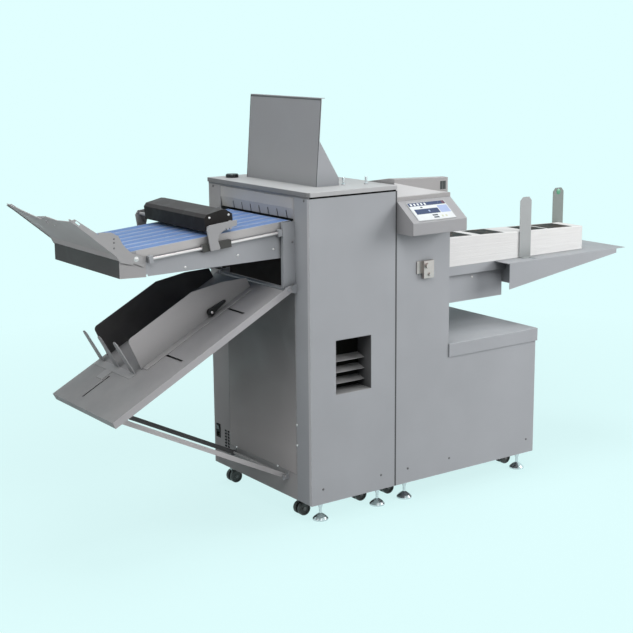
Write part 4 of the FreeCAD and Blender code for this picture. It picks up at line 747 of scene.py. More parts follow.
@dataclass(frozen=True)
class Facet:
    """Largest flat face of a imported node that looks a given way, with its own axes."""

    corner: Vector
    across: Vector
    rise: Vector
    out: Vector
    width: float
    height: float

    @classmethod
    def of(cls, node: str, towards: Vector) -> "Facet":
        """Measure the face.

        Args:
            node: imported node.
            towards: direction that the face looks, roughly.

        Returns:
            The facet, with its corner at its low left as seen from outside.
        """
        mesh = frame["nodes"][node].data
        face = max((p for p in mesh.polygons if p.normal.dot(towards) > 0.7), key=lambda p: p.area)
        out = face.normal.copy()
        across = RIGHT if abs(out.x) < 0.7 else BEHIND
        across = (across - out * across.dot(out)).normalized()
        rise = out.cross(across)
        flatness = 0.0001
        on_face = [v.co for v in mesh.vertices if abs((v.co - face.center).dot(out)) < flatness]
        low_across = min(p.dot(across) for p in on_face)
        low_rise = min(p.dot(rise) for p in on_face)
        corner = across * low_across + rise * low_rise + out * face.center.dot(out)
        return cls(corner, across, rise, out, max(p.dot(across) for p in on_face) - low_across,
                   max(p.dot(rise) for p in on_face) - low_rise)

    def at(self, share_across: float, share_rise: float, lift: float = 0.0) -> Vector:
        """Point of the face.

        Args:
            share_across: 0 at its left, 1 at its right.
            share_rise: 0 at its foot, 1 at its top.
            lift: metres off the face.

        Returns:
            The point in the frame.
        """
        return (self.corner + self.across * (self.width * share_across)
                + self.rise * (self.height * share_rise) + self.out * lift)


class Forge:
    """Mesh making shared by all the sub-assemblies."""

    @staticmethod
    def turned(mesh: bmesh.types.BMesh, profile: Sequence[tuple[float, float]], base: Vector, axis: Vector,
               steps: int = 32, ring: Callable[[int, float], float] | None = None) -> None:
        """Turn a profile about an axis and add it to a mesh.

        Args:
            mesh: mesh to add to.
            profile: radius and height along the axis, from foot to top.
            base: foot of the axis.
            axis: direction of the axis.
            steps: divisions round the axis.
            ring: radius factor of a profile step at an angle, or none for a round one.
        """
        axis = axis.normalized()
        side = axis.orthogonal().normalized()
        other = axis.cross(side)
        rings = []
        for index, (radius, height) in enumerate(profile):
            if radius <= 0.0:
                rings.append([mesh.verts.new(base + axis * height)])
                continue
            row = []
            for step in range(steps):
                angle = math.tau * step / steps
                reach = radius * (ring(index, angle) if ring else 1.0)
                spoke = side * math.cos(angle) + other * math.sin(angle)
                row.append(mesh.verts.new(base + axis * height + spoke * reach))
            rings.append(row)
        for low, high in zip(rings, rings[1:]):
            for step in range(steps):
                after = (step + 1) % steps
                if len(low) == 1 and len(high) == 1:
                    continue
                if len(low) == 1:
                    mesh.faces.new((low[0], high[step], high[after])[::-1])
                elif len(high) == 1:
                    mesh.faces.new((low[step], low[after], high[0]))
                else:
                    mesh.faces.new((low[step], low[after], high[after], high[step]))
        if len(rings[0]) > 1:
            mesh.faces.new(rings[0][::-1])
        if len(rings[-1]) > 1:
            mesh.faces.new(rings[-1])

    @staticmethod
    def prism(mesh: bmesh.types.BMesh, outline: Sequence[Vector], thickness: Vector) -> None:
        """Extrude a closed outline and add it to a mesh.

        Args:
            mesh: mesh to add to.
            outline: corners in order.
            thickness: direction and depth of the extrusion.
        """
        low = [mesh.verts.new(p) for p in outline]
        high = [mesh.verts.new(p + thickness) for p in outline]
        mesh.faces.new(low[::-1])
        mesh.faces.new(high)
        for index in range(len(low)):
            after = (index + 1) % len(low)
            mesh.faces.new((low[index], low[after], high[after], high[index]))

    @staticmethod
    def tile(mesh: bmesh.types.BMesh, facet: Facet, low: Point, high: Point, lift: float,
             depth: float) -> None:
        """Add a thin rectangular tile that lies on a facet.

        Args:
            mesh: mesh to add to.
            facet: face that it lies on.
            low: shares across and up of its low corner.
            high: shares across and up of its high corner.
            lift: height of its foot over the face.
            depth: its thickness.
        """
        Forge.prism(mesh, [facet.at(a, b, lift) for a, b in rectangle(low, high)], facet.out * depth)

    @staticmethod
    def plate(mesh: bmesh.types.BMesh, low: Point, high: Point) -> None:
        """Add a rectangular plate from its low and high corners.

        Args:
            mesh: mesh to add to.
            low: low corner.
            high: high corner.
        """
        corners = [Vector((x, y, low[2])) for x, y in rectangle(low, high)]
        Forge.prism(mesh, corners, UP * (high[2] - low[2]))

    @staticmethod
    @contextmanager
    def coated(mesh: bmesh.types.BMesh, index: int) -> Iterator[None]:
        """Give the faces that are added meanwhile one of the piece's materials.

        Args:
            mesh: mesh that they are added to.
            index: index of the material.

        Yields:
            Nothing.
        """
        before = set(mesh.faces)
        yield
        for face in set(mesh.faces) - before:
            face.material_index = index

    @staticmethod
    def finish(name: str, mesh: bmesh.types.BMesh, materials: Sequence[bpy.types.Material],
               soften: float = 0.0, smooth: float = 35.0) -> bpy.types.Object:
        """Turn a mesh into an object of the scene.

        Args:
            name: name of the piece.
            mesh: the finished mesh, which is freed.
            materials: its materials, by index.
            soften: width of a bevel along its sharp edges.
            smooth: angle in degrees up to which edges are shaded smooth.

        Returns:
            The object.
        """
        bmesh.ops.recalc_face_normals(mesh, faces=mesh.faces)
        limit = math.radians(smooth)
        for edge in mesh.edges:
            edge.smooth = len(edge.link_faces) == 2 and edge.calc_face_angle(0.0) < limit
        for face in mesh.faces:
            face.smooth = True
        data = bpy.data.meshes.new(name)
        mesh.to_mesh(data)
        mesh.free()
        for material in materials:
            data.materials.append(material)
        piece = bpy.data.objects.new(name, data)
        bpy.context.scene.collection.objects.link(piece)
        if soften > 0.0:
            bevel = piece.modifiers.new("soft_edges", "BEVEL")
            bevel.width = soften
            bevel.segments = 2
            bevel.limit_method = "ANGLE"
            bevel.angle_limit = limit
            bevel.harden_normals = True
        return piece


@dataclass(frozen=True)
class Head:
    """Screw head: size and recess."""

    radius: float = 0.0042
    height: float = 0.0024
    drive: Drive = Drive.CROSS
    washer: bool = False

    def add(self, mesh: bmesh.types.BMesh, place: Vector, out: Vector) -> None:
        """Add the head to a mesh.

        Args:
            mesh: mesh to add to.
            place: point on the surface under the head.
            out: direction away from the surface.
        """
        foot = place - out * 0.0004
        if self.washer:
            outer = self.radius * 1.6
            ring = [(outer * 0.98, 0.0), (outer, 0.0006), (outer * 0.97, 0.0012), (0.0, 0.0012)]
            Forge.turned(mesh, ring, foot, out, 24)
            foot = foot + out * 0.001
        rim, top, hole = self.radius, self.height, self.radius * 0.52
        profile = [(rim, 0.0), (rim, top * 0.45), (rim * 0.86, top * 0.82), (hole * 1.15, top)]
        if self.drive is Drive.PLAIN:
            profile.append((0.0, top * 1.02))
            Forge.turned(mesh, profile, foot, out, 24)
            return
        profile += [(hole, top), (hole * 0.94, top * 0.3), (0.0, top * 0.25)]
        first_recess = 4
        Forge.turned(mesh, profile, foot, out, 24,
                     lambda index, angle: self._recess(angle) if index >= first_recess else 1.0)

    def _recess(self, angle: float) -> float:
        """Radius factor of the recess at an angle."""
        if self.drive is Drive.HEX:
            sixth = math.tau / 6.0
            return math.cos(sixth / 2.0) / math.cos(angle % sixth - sixth / 2.0)
        quarter = math.tau / 4.0
        off = abs((angle + quarter / 2.0) % quarter - quarter / 2.0)
        return 1.0 if off < 0.2 else 0.36


@dataclass
class Workshop:
    """Finishes, effects and the making of pieces, shared by the sub-assemblies."""

    effects: Effects = field(default_factory=Effects)
    seed: int = 20

    def __post_init__(self) -> None:
        """Make the seeded source of small unevenness and the common finishes."""
        self.chance = random.Random(self.seed)
        self.coat = PowderCoat("powder_coat_grey")
        self.zinc = ZincPlate("zinc_plate")
        self.plastic = MouldedPlastic("moulded_black")
        self.rubber = GroundRubber("ground_rubber")
        self.chrome = PolishedMetal("polished_chrome")
        self.screws = PolishedMetal("plated_screws", tone=(0.66, 0.59, 0.59), roughness=0.3)
        self.painted = PowderCoat("painted_heads", tone=(0.2, 0.2, 0.205))

    def dress(self, finish: Finish, *nodes: str) -> None:
        """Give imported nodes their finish.

        Args:
            finish: what they are painted or made with.
            nodes: names of the nodes.
        """
        made = finish.material(self.effects)
        for node in nodes:
            materials = frame["nodes"][node].data.materials
            materials.clear()
            materials.append(made)
        LOG.info("%s: %s", finish.name, ", ".join(nodes))

    def keep(self, name: str, mesh: bmesh.types.BMesh, finishes: Sequence[Finish], body: str, slot: str,
             *nodes: str, soften: float = 0.0, smooth: float = 35.0) -> None:
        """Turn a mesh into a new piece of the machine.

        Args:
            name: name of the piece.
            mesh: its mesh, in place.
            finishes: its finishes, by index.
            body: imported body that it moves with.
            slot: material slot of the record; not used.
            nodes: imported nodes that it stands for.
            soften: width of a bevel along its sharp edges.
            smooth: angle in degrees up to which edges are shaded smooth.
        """
        materials = [finish.material(self.effects) for finish in finishes]
        piece = Forge.finish(name, mesh, materials, soften, smooth)
        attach(piece, body)
        if nodes:
            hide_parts(*nodes)
        LOG.info("piece %s on %s", name, body)

    def fasten(self, name: str, body: str, head: Head, places: Iterable[tuple[Vector, Vector]],
               finish: Finish | None = None, slot: str = "bright_metal") -> None:
        """Set a group of equal screws.

        Args:
            name: name of the group.
            body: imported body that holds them.
            head: shape of their heads.
            places: surface point and outward direction of each.
            finish: their plating, or none for the common one.
            slot: material slot of the record.
        """
        mesh = bmesh.new()
        for place, out in places:
            head.add(mesh, place, out)
        self.keep(name, mesh, [finish or self.screws], body, slot, smooth=40.0)


# ---------------------------------------------------------------- sub-assemblies


def joint_place(name: str) -> Vector:
    """Place of a joint's axis in the frame."""
    return Vector(next(joint for joint in frame["joints"] if joint["name"] == name)["pos_m"])


@dataclass
class Tower:
    """Folding tower: sheet-steel enclosure with its service panel, louvre and mains inlet."""

    front_screw_x: tuple[float, ...] = (-0.3585, -0.1065)
    front_screw_z: float = 0.137
    door_screw_y: tuple[float, ...] = (0.206, -0.065)
    door_screw_z: float = 0.177
    blades: tuple[tuple[float, float], ...] = ((-0.007, 0.01), (0.007, 0.01), (0.0, 0.018))
    post_screw_z: tuple[float, ...] = (0.355, 0.283)
    top_screw_z: float = 1.141
    head: Head = field(default_factory=Head)
    vent_depth: float = 0.076
    shelf_in: float = 0.039
    shelf_slope: float = 0.012
    shelf_rises: tuple[float, ...] = (0.105, 0.066, 0.027)
    slit_y: tuple[float, ...] = (0.2555, 0.2755)
    slit_z: float = 0.16
    slit_pitch: float = 0.0118
    slit_rows: int = 6
    slit_size: tuple[float, float] = (0.012, 0.0065)

    def build(self, shop: Workshop) -> None:
        """Dress the enclosure and set its fittings."""
        shop.dress(shop.coat, "tower_front_panel", "vent_louvre")
        # Painted light: the wrap's left faces take a warmer tone that offsets the cyan bounce light.
        wall = PowderCoat("powder_coat_wrap", side_tone_and_lighting=(0.47, 0.46, 0.465))
        shop.dress(wall, "tower_wrap")
        # Painted light and shadow: the panel's left faces are lighter, and the coat darkens towards the top,
        # under the tray.
        panel = PowderCoat("powder_coat_panel", side_tone_and_lighting=(0.53, 0.505, 0.505), height_shade=(0.25, 0.66, 0.78))
        shop.dress(panel, "service_panel")
        shop.dress(shop.zinc, "tower_chassis", "crease_blade")
        shop.dress(shop.rubber, "fold_roller_low", "fold_roller_high")
        shop.dress(recess_black("inlet_black", (0.01, 0.01, 0.01), 0.6, 0.15), "mains_inlet")
        rocker = MouldedPlastic("rocker_black", tone=(0.016, 0.016, 0.017), roughness=0.25)
        shop.dress(rocker, "rocker_switch")
        self._screws(shop)
        self._inlet_blades(shop)
        self._louvre(shop)
        self._strips(shop)

    def _louvre(self, shop: Workshop) -> None:
        """Deep recess behind the front opening: pale floor and shelves, painted shade on walls, top and back.
        """
        low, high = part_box("vent_louvre")
        sheet, shelf_t, mouth_y, back_y = 0.001, 0.0014, low.y + 0.0002, low.y + self.vent_depth
        mesh = bmesh.new()
        plates = [((low.x, mouth_y, low.z), (high.x, back_y, low.z + sheet), 0),
                  ((high.x - sheet, mouth_y, low.z), (high.x, back_y, high.z), 1),
                  ((low.x, mouth_y, low.z), (low.x + sheet, back_y, high.z), 1),
                  ((low.x, mouth_y, high.z - sheet), (high.x, back_y, high.z), 2),
                  ((low.x, back_y, low.z), (high.x, back_y + sheet, high.z), 2)]
        for corner, far_corner, finish in plates:
            with Forge.coated(mesh, finish):
                Forge.plate(mesh, corner, far_corner)
        for rise in self.shelf_rises:
            lip = Vector((low.x + sheet, low.y + self.shelf_in, low.z + rise))
            rear = lip + Vector((0.0, back_y - lip.y, self.shelf_slope))
            drop = UP * -shelf_t
            Forge.prism(mesh, [lip, rear, rear + drop, lip + drop], RIGHT * (high.x - low.x - 2.0 * sheet))
        shelf = PowderCoat("vent_shelf", tone=(0.42, 0.42, 0.425))
        # Painted shade: the recess's side walls are dark and its top and back black.
        wall = PowderCoat("vent_wall_shade", tone=(0.17, 0.17, 0.175))
        painted_shade = recess_black("vent_back_shade", (0.006, 0.006, 0.005))
        shop.keep("vent_recess", mesh, [shelf, wall, painted_shade], "machine", "enclosure", "vent_louvre")

    def _strips(self, shop: Workshop) -> None:
        """Painted shade in the lid and feeder gaps, black tiles for the small vents, painted highlight on the
        corner.
        """
        front_low, front_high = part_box("tower_front_panel")
        wrap_low, wrap_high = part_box("tower_wrap")
        feeder_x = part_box("feeder_front")[0].x
        skin, shade_below, shade_above, corner_light_w = 0.0004, 0.0015, 0.0053, 0.0125
        top = wrap_high.z
        # Painted shadow: black strips in the gap under the lid's front flange and in the gap to the feeder,
        # and black tiles where the left wall's small vents are.
        gap_shadows = bmesh.new()
        Forge.plate(gap_shadows, (front_low.x + 0.001, front_low.y - skin, top - shade_below),
                    (front_high.x, front_low.y + skin, top + shade_above))
        Forge.plate(gap_shadows, (front_high.x - skin, front_low.y + 0.004, front_low.z),
                    (feeder_x + skin, front_low.y + 0.006, top))
        slit_w, slit_h = self.slit_size
        for y in self.slit_y:
            for row in range(self.slit_rows):
                z = self.slit_z + self.slit_pitch * row
                Forge.plate(gap_shadows, (wrap_low.x - skin, y, z), (wrap_low.x, y + slit_w, z + slit_h))
        painted_shade = recess_black("gap_shadow_black", (0.008, 0.008, 0.008), shine=0.1)
        shop.keep("gap_shadow_strips", gap_shadows, [painted_shade], "machine", "black_plastic")
        # Painted shade: mid-grey strips along the top of the left faces fill the gap under the lid's flange
        # in place of its shadow.
        under = PowderCoat("lid_gap_shade_coat", tone=(0.3, 0.3, 0.305))
        gap_shade = bmesh.new()
        Forge.plate(gap_shade, (wrap_low.x - skin, wrap_low.y, top - shade_below),
                    (wrap_low.x + skin, wrap_high.y, top + shade_above))
        Forge.plate(gap_shade, (front_low.x - skin, front_low.y, top - shade_below),
                    (front_low.x + skin, front_high.y, top + shade_above))
        shop.keep("lid_gap_shade", gap_shade, [under], "machine", "enclosure")
        # Painted shadow: a dark line over the gap between the tower's front and the feeder's.
        joint = bmesh.new()
        Forge.plate(joint, (front_high.x - 0.001, front_low.y - 0.0005, front_low.z),
                    (feeder_x + 0.001, front_low.y - 0.0001, top))
        shadow_line_coat = PowderCoat("gap_shadow_line_coat", tone=(0.1, 0.1, 0.105), wear=0.1)
        shop.keep("gap_shadow_line", joint, [shadow_line_coat], "machine", "enclosure")
        # Painted highlight: a pale strip on the front panel's left face, along the front-left corner.
        corner_light = bmesh.new()
        Forge.plate(corner_light, (front_low.x - skin, front_low.y + 0.0005, front_low.z),
                    (front_low.x, front_low.y + corner_light_w, top - shade_below))
        pale = PowderCoat("corner_highlight_coat", tone=(0.66, 0.67, 0.69))
        shop.keep("corner_highlight", corner_light, [pale], "machine", "enclosure")

    def _screws(self, shop: Workshop) -> None:
        """Screws of the front panel, the left wall, the back and the far side."""
        front_low, front_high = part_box("tower_front_panel")
        wrap_low, wrap_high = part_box("tower_wrap")
        panel_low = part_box("service_panel")[0]
        front = [(Vector((x, front_low.y, self.front_screw_z)), AHEAD) for x in self.front_screw_x]
        left = [(Vector((panel_low.x, y, self.door_screw_z)), LEFT) for y in self.door_screw_y]
        post_y = (front_high.y + panel_low.y) / 2.0
        left += [(Vector((wrap_low.x, post_y, z)), LEFT) for z in self.post_screw_z]
        corner_in, middle_z = 0.03, (self.front_screw_z + self.top_screw_z) / 2.0
        painted = [(Vector((front_low.x, front_low.y + corner_in, self.top_screw_z - 0.01)), LEFT),
                   (Vector((wrap_low.x, wrap_high.y - corner_in, self.top_screw_z - 0.01)), LEFT)]
        back = [(Vector((x, wrap_high.y, z)), BEHIND)
                for x in (wrap_low.x + corner_in, wrap_high.x - corner_in)
                for z in (self.front_screw_z, middle_z, self.top_screw_z)]
        shop.fasten("tower_screws", "machine", self.head, left + back)
        shop.fasten("painted_screws", "machine", self.head, front + painted, shop.painted, "enclosure")

    def _inlet_blades(self, shop: Workshop) -> None:
        """Three flat pins inside the mains inlet."""
        low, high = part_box("mains_inlet")
        middle_y = (low.y + high.y) / 2.0
        blade_in, blade_half_w, blade_half_t = 0.006, 0.001, 0.002
        mesh = bmesh.new()
        for y, z in self.blades:
            Forge.plate(mesh, (low.x + blade_in, middle_y + y - blade_half_w, low.z + z - blade_half_t),
                        (high.x - blade_in, middle_y + y + blade_half_w, low.z + z + blade_half_t))
        finish = PolishedMetal("inlet_brass", tone=(0.7, 0.58, 0.33), roughness=0.3)
        shop.keep("inlet_blades", mesh, [finish], "machine",
                  "bright_metal")


@dataclass
class Lid:
    """Hinged top lid with its sheet stand, adjusting knob and thumb screws."""

    mark_size: tuple[float, float] = (0.0012, 0.009)
    shadow_bands: tuple[tuple[Point, Point], ...] = (
        ((0.0, 0.01), (1.0, 0.026)), ((0.0, 0.026), (0.009, 1.0)), ((0.994, 0.026), (1.0, 1.0)))

    def build(self, shop: Workshop) -> None:
        """Dress the lid and what stands on it."""
        # Painted shade: the lid's left faces are darker, and the stand's left faces take a slightly different
        # tone.
        lid = PowderCoat("powder_coat_lid", tone=(0.55, 0.555, 0.565), side_tone_and_lighting=(0.29, 0.29, 0.295))
        shop.dress(lid, "top_lid")
        stand = PowderCoat("powder_coat_stand", tone=(0.43, 0.445, 0.47), side_tone_and_lighting=(0.44, 0.445, 0.46))
        shop.dress(stand, "sheet_stand")
        shop.dress(MouldedPlastic("knob_black", tone=(0.013, 0.013, 0.014), roughness=0.3), "lid_knob")
        shop.dress(shop.chrome, "thumb_screw_a", "thumb_screw_b")
        self._knob_mark(shop)
        self._stand_shadow_bands(shop)
        low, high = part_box("sheet_stand")
        foot_screw_x = low.x + 0.012
        inset = 0.035
        places = [(Vector((foot_screw_x, y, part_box("top_lid")[1].z)), UP)
                  for y in (low.y + inset, high.y - inset)]
        shop.fasten("stand_screws", "lid", Head(radius=0.0038, drive=Drive.HEX), places)

    def _stand_shadow_bands(self, shop: Workshop) -> None:
        """Painted shade: dark bands along the leaf's top and its two upright edges."""
        facet = Facet.of("sheet_stand", LEFT)
        mesh = bmesh.new()
        for low, high in self.shadow_bands:
            Forge.tile(mesh, facet, low, high, 0.0, 0.0004)
        band_coat = PowderCoat("stand_shade_coat", tone=(0.16, 0.165, 0.17), wear=0.1)
        shop.keep("stand_shade_bands", mesh, [band_coat], "lid", "enclosure")

    def _knob_mark(self, shop: Workshop) -> None:
        """White pointer line on the knob's face."""
        low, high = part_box("lid_knob")
        centre = (low + high) / 2.0
        half_w, length = self.mark_size
        start = 0.006
        mesh = bmesh.new()
        Forge.plate(mesh, (centre.x - start - length, centre.y - half_w / 2.0, high.z - 0.0002),
                    (centre.x - start, centre.y + half_w / 2.0, high.z + 0.0002))
        white = MouldedPlastic("pointer_white", tone=(0.7, 0.7, 0.7), roughness=0.4)
        shop.keep("knob_pointer", mesh, [white], "lid_knob",
                  "black_plastic")


@dataclass(frozen=True)
class Deck:
    """Sloping plane of the belts or of the tray: its origin at the tower and its own axes."""

    origin: Vector
    along: Vector
    out: Vector

    @classmethod
    def of_belts(cls) -> "Deck":
        """Read the plane from the belts' upper run."""
        facet = Facet.of("delivery_belts", UP)
        return cls(facet.at(1.0, 0.0), facet.across, facet.out)

    @classmethod
    def of_tray(cls) -> "Deck":
        """Read the lower tray's plane, from the upper end of its near edge."""
        facet = Facet.of("lower_tray", UP)
        ear_reach = 0.028
        return cls(facet.at(1.0, 0.0) - facet.across * ear_reach, facet.across, facet.out)

    def at(self, along: float, across: float, off: float) -> Vector:
        """Point of the deck.

        Args:
            along: metres towards the tower from the end of the flat run.
            across: metres from its near edge.
            off: metres above its face.

        Returns:
            The point in the frame.
        """
        return self.origin + self.along * along + BEHIND * across + self.out * off

    def rim(self, low: Point, high: Point, off: float) -> list[Vector]:
        """Corners of a rectangle that lies parallel to the deck.

        Args:
            low: metres along and across of its low corner.
            high: metres along and across of its high corner.
            off: metres above the deck.

        Returns:
            The corners in order.
        """
        return [self.at(along, across, off) for along, across in rectangle(low, high)]


@dataclass
class Delivery:
    """Belt delivery: frame, belts, rollers, rods, end cap and the exit flap over it."""

    side_screws: tuple[tuple[float, float], ...] = ((-0.4795, 0.97), (-0.6195, 0.963), (-0.8175, 0.945))
    bracket_screws: tuple[tuple[float, float], ...] = ((-0.4295, 0.993), (-0.4295, 0.85))
    trim_run: tuple[float, float, float] = (-0.545, 0.008, -0.0262)
    deck_shadow: tuple[Point, Point] = ((-0.105, 0.829), (0.352, 0.935))
    splice_step: float = 0.0045
    belts: int = 7
    belt_pitch: float = 0.0553
    belt_width: float = 0.05
    belt_thickness: float = 0.0025
    loop_radius: float = 0.0158
    run_on: float = 0.03
    flap_thickness: float = 0.002
    flap_bend: float = 0.036
    flap_set_in: float = 0.007
    slots: int = 7
    slot_width: float = 0.0062
    slot_rise: float = 0.026
    slot_first: float = 0.045

    def build(self, shop: Workshop) -> None:
        """Dress the delivery and set its screws."""
        shop.dress(shop.coat, "delivery_frame", "wall_brackets")
        cap = PowderCoat("cap_two_tone", tone=(0.45, 0.445, 0.45), side_tone_and_lighting=(0.095, 0.086, 0.087))
        shop.dress(cap, "end_cap")
        rods = PolishedMetal("guide_rod_steel", tone=(0.62, 0.53, 0.53), roughness=0.3)
        shop.dress(rods, "guide_rods")
        shop.dress(shop.chrome, "drive_roller", "idle_roller")
        self._screws(shop)
        self._belt_loops(shop)
        self._splices(shop)
        self._flap(shop)
        self._trim(shop)

    def _trim(self, shop: Workshop) -> None:
        """Bright trim above the near guide rod, bracket screws and a painted shadow panel under the deck."""
        deck = Deck.of_belts()
        mesh = bmesh.new()
        plate_gap, proud, trim_t = 0.0042, 0.001, 0.0005
        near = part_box("delivery_belts")[0].y - plate_gap - deck.origin.y
        start, end, drop = self.trim_run
        rim = [deck.at(along, near, off) for along, off in rectangle((start, drop), (end, proud))]
        Forge.prism(mesh, rim, AHEAD * trim_t)
        pale = PowderCoat("trim_coat", tone=(0.6, 0.59, 0.59), roughness=0.45, wear=0.2)
        shop.keep("rail_trim", mesh, [pale], "machine", "enclosure")
        bracket_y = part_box("wall_brackets")[0].y
        places = [(Vector((x, bracket_y, z)), AHEAD) for x, z in self.bracket_screws]
        shop.fasten("bracket_screws", "machine", Head(radius=0.004), places, shop.painted, "enclosure")
        wall_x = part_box("tower_wrap")[0].x
        # Painted shadow: a black panel on the tower's wall where the deck shades it.
        deck_shadow = bmesh.new()
        (near_y, foot_z), (far_y, top_z) = self.deck_shadow
        Forge.plate(deck_shadow, (wall_x - 0.0006, near_y, foot_z), (wall_x - 0.0003, far_y, top_z))
        shadow_black = recess_black("under_deck_shadow_black", (0.036, 0.032, 0.031), 0.85, 0.08)
        shop.keep("under_deck_shadow", deck_shadow, [shadow_black], "machine",
                  "black_plastic")

    def _screws(self, shop: Workshop) -> None:
        """Hex screws of the near and the far side plate."""
        plate_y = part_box("delivery_belts")[0].y - 0.004
        far_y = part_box("drive_roller")[1].y + 0.0015
        shop.fasten("delivery_screws", "machine", Head(radius=0.0045, drive=Drive.HEX),
                    both_sides(self.side_screws, plate_y, far_y))

    def _belt_loops(self, shop: Workshop) -> None:
        """Seven endless belts with softened edges that run in under the exit flap."""
        facet = Facet.of("delivery_belts", UP)
        deck = Deck.of_belts()
        drop = self.loop_radius + self.belt_thickness
        steps = 14
        path = []
        for centre, start in ((self.run_on, math.pi / 2.0), (-facet.width, -math.pi / 2.0)):
            path += [(centre, start - math.pi * step / steps) for step in range(steps + 1)]
        crown, corner = 0.0004, 0.0007
        thick = self.belt_thickness
        section = [(0.0, 0.0), (0.0, thick - crown), (corner, thick), (self.belt_width - corner, thick),
                   (self.belt_width, thick - crown), (self.belt_width, 0.0)]
        mesh = bmesh.new()
        for belt in range(self.belts):
            rings = []
            for centre, angle in path:
                rings.append([mesh.verts.new(deck.at(
                    centre + (self.loop_radius + rise) * math.cos(angle), belt * self.belt_pitch + across,
                    (self.loop_radius + rise) * math.sin(angle) - drop)) for across, rise in section])
            for here, after in zip(rings, rings[1:] + rings[:1]):
                for index in range(len(section)):
                    beside = (index + 1) % len(section)
                    mesh.faces.new((here[index], here[beside], after[beside], after[index]))
        fabric = BeltFabric("belt_blue_weave", first_edge=deck.origin.y)
        shop.dress(fabric, "delivery_belts")
        shop.keep("belt_loops", mesh, [fabric], "machine", "belt_blue", "delivery_belts")

    def _splices(self, shop: Workshop) -> None:
        """Pressed zigzag splice across each belt's upper run."""
        deck = Deck.of_belts()
        run = Facet.of("delivery_belts", UP).width
        teeth = 6
        step = self.belt_width / teeth
        line_w, line_t = 0.0006, 0.00012
        mesh = bmesh.new()
        for belt in range(self.belts):
            along = -run * shop.chance.uniform(0.12, 0.88)
            for tooth in range(teeth):
                across = belt * self.belt_pitch + step * tooth
                foot = deck.at(along, across, 0.0)
                tip = deck.at(along + self.splice_step, across + step / 2.0, 0.0)
                back = deck.at(along, across + step, 0.0)
                for first, last in ((foot, tip), (tip, back)):
                    wide = deck.along * line_w
                    Forge.prism(mesh, [first, first + wide, last + wide, last], deck.out * line_t)
        finish = BeltFabric("belt_splice", tone=(0.07, 0.14, 0.33), pale_edge=(0.1, 0.2, 0.4))
        shop.keep("belt_splices", mesh, [finish], "machine",
                  "belt_blue")

    def _flap(self, shop: Workshop) -> None:
        """Exit flap: flush leaf, lower part bent inwards down to the belts, slots for the sheets."""
        low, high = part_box("exit_flap")
        wall_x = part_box("tower_wrap")[0].x
        belt_z = Deck.of_belts().at(self.run_on, 0.0, 0.0).z
        tuck, belt_gap = 0.0016, 0.0045
        top_z, foot_z = high.z + tuck, belt_z + belt_gap
        bend_z = foot_z + self.flap_bend
        top = Vector((wall_x, low.y, top_z))
        bend = Vector((wall_x, low.y, bend_z))
        foot = Vector((wall_x + self.flap_set_in, low.y, foot_z))
        width = high.y - low.y
        depth = RIGHT * self.flap_thickness
        mesh = bmesh.new()
        Forge.prism(mesh, [top, top + BEHIND * width, bend + BEHIND * width, bend], depth)
        slot_top = foot.lerp(bend, self.slot_rise / self.flap_bend)
        outline = [bend, bend + BEHIND * width, foot + BEHIND * width]
        for slot in reversed(range(self.slots)):
            middle = self.slot_first + slot * self.belt_pitch
            far, near = middle + self.slot_width / 2.0, middle - self.slot_width / 2.0
            outline += [foot + BEHIND * far, slot_top + BEHIND * far,
                        slot_top + BEHIND * near, foot + BEHIND * near]
        outline.append(foot)
        Forge.prism(mesh, outline, depth)
        ear_w, ear_half = 0.003, 0.005
        pin = joint_place("flap_hinge")
        for share in (0.0, 0.5, 1.0):
            y = low.y + (width - ear_w) * share
            Forge.plate(mesh, (wall_x + self.flap_thickness, y, pin.z - ear_half),
                        (pin.x + ear_half, y + ear_w, pin.z + ear_half))
        # Painted light: the flap's coat is a lighter copy of the enclosure grey, with less painted recess
        # shade.
        coat = PowderCoat("powder_coat_flap_lit", tone=(0.6, 0.585, 0.565), recess_shade=0.4)
        shop.dress(coat, "exit_flap")
        shop.keep("exit_flap_leaf", mesh, [coat], "exit_flap",
                  "enclosure", "exit_flap")
        # Painted shade: a black sheet behind the slots, where the tower's inside would be dark.
        slot_shade = bmesh.new()
        back, inset, short = RIGHT * (self.flap_thickness + 0.0003), 0.01, UP * 0.001
        near, far = back + BEHIND * inset, back + BEHIND * (width - inset)
        Forge.prism(slot_shade, [bend + near, bend + far, foot + far + short, foot + near + short],
                    RIGHT * 0.0004)
        painted_shade = recess_black("flap_slot_shade_black", (0.006, 0.006, 0.006))
        shop.keep("exit_flap_slot_shade", slot_shade, [painted_shade], "exit_flap",
                  "black_plastic")


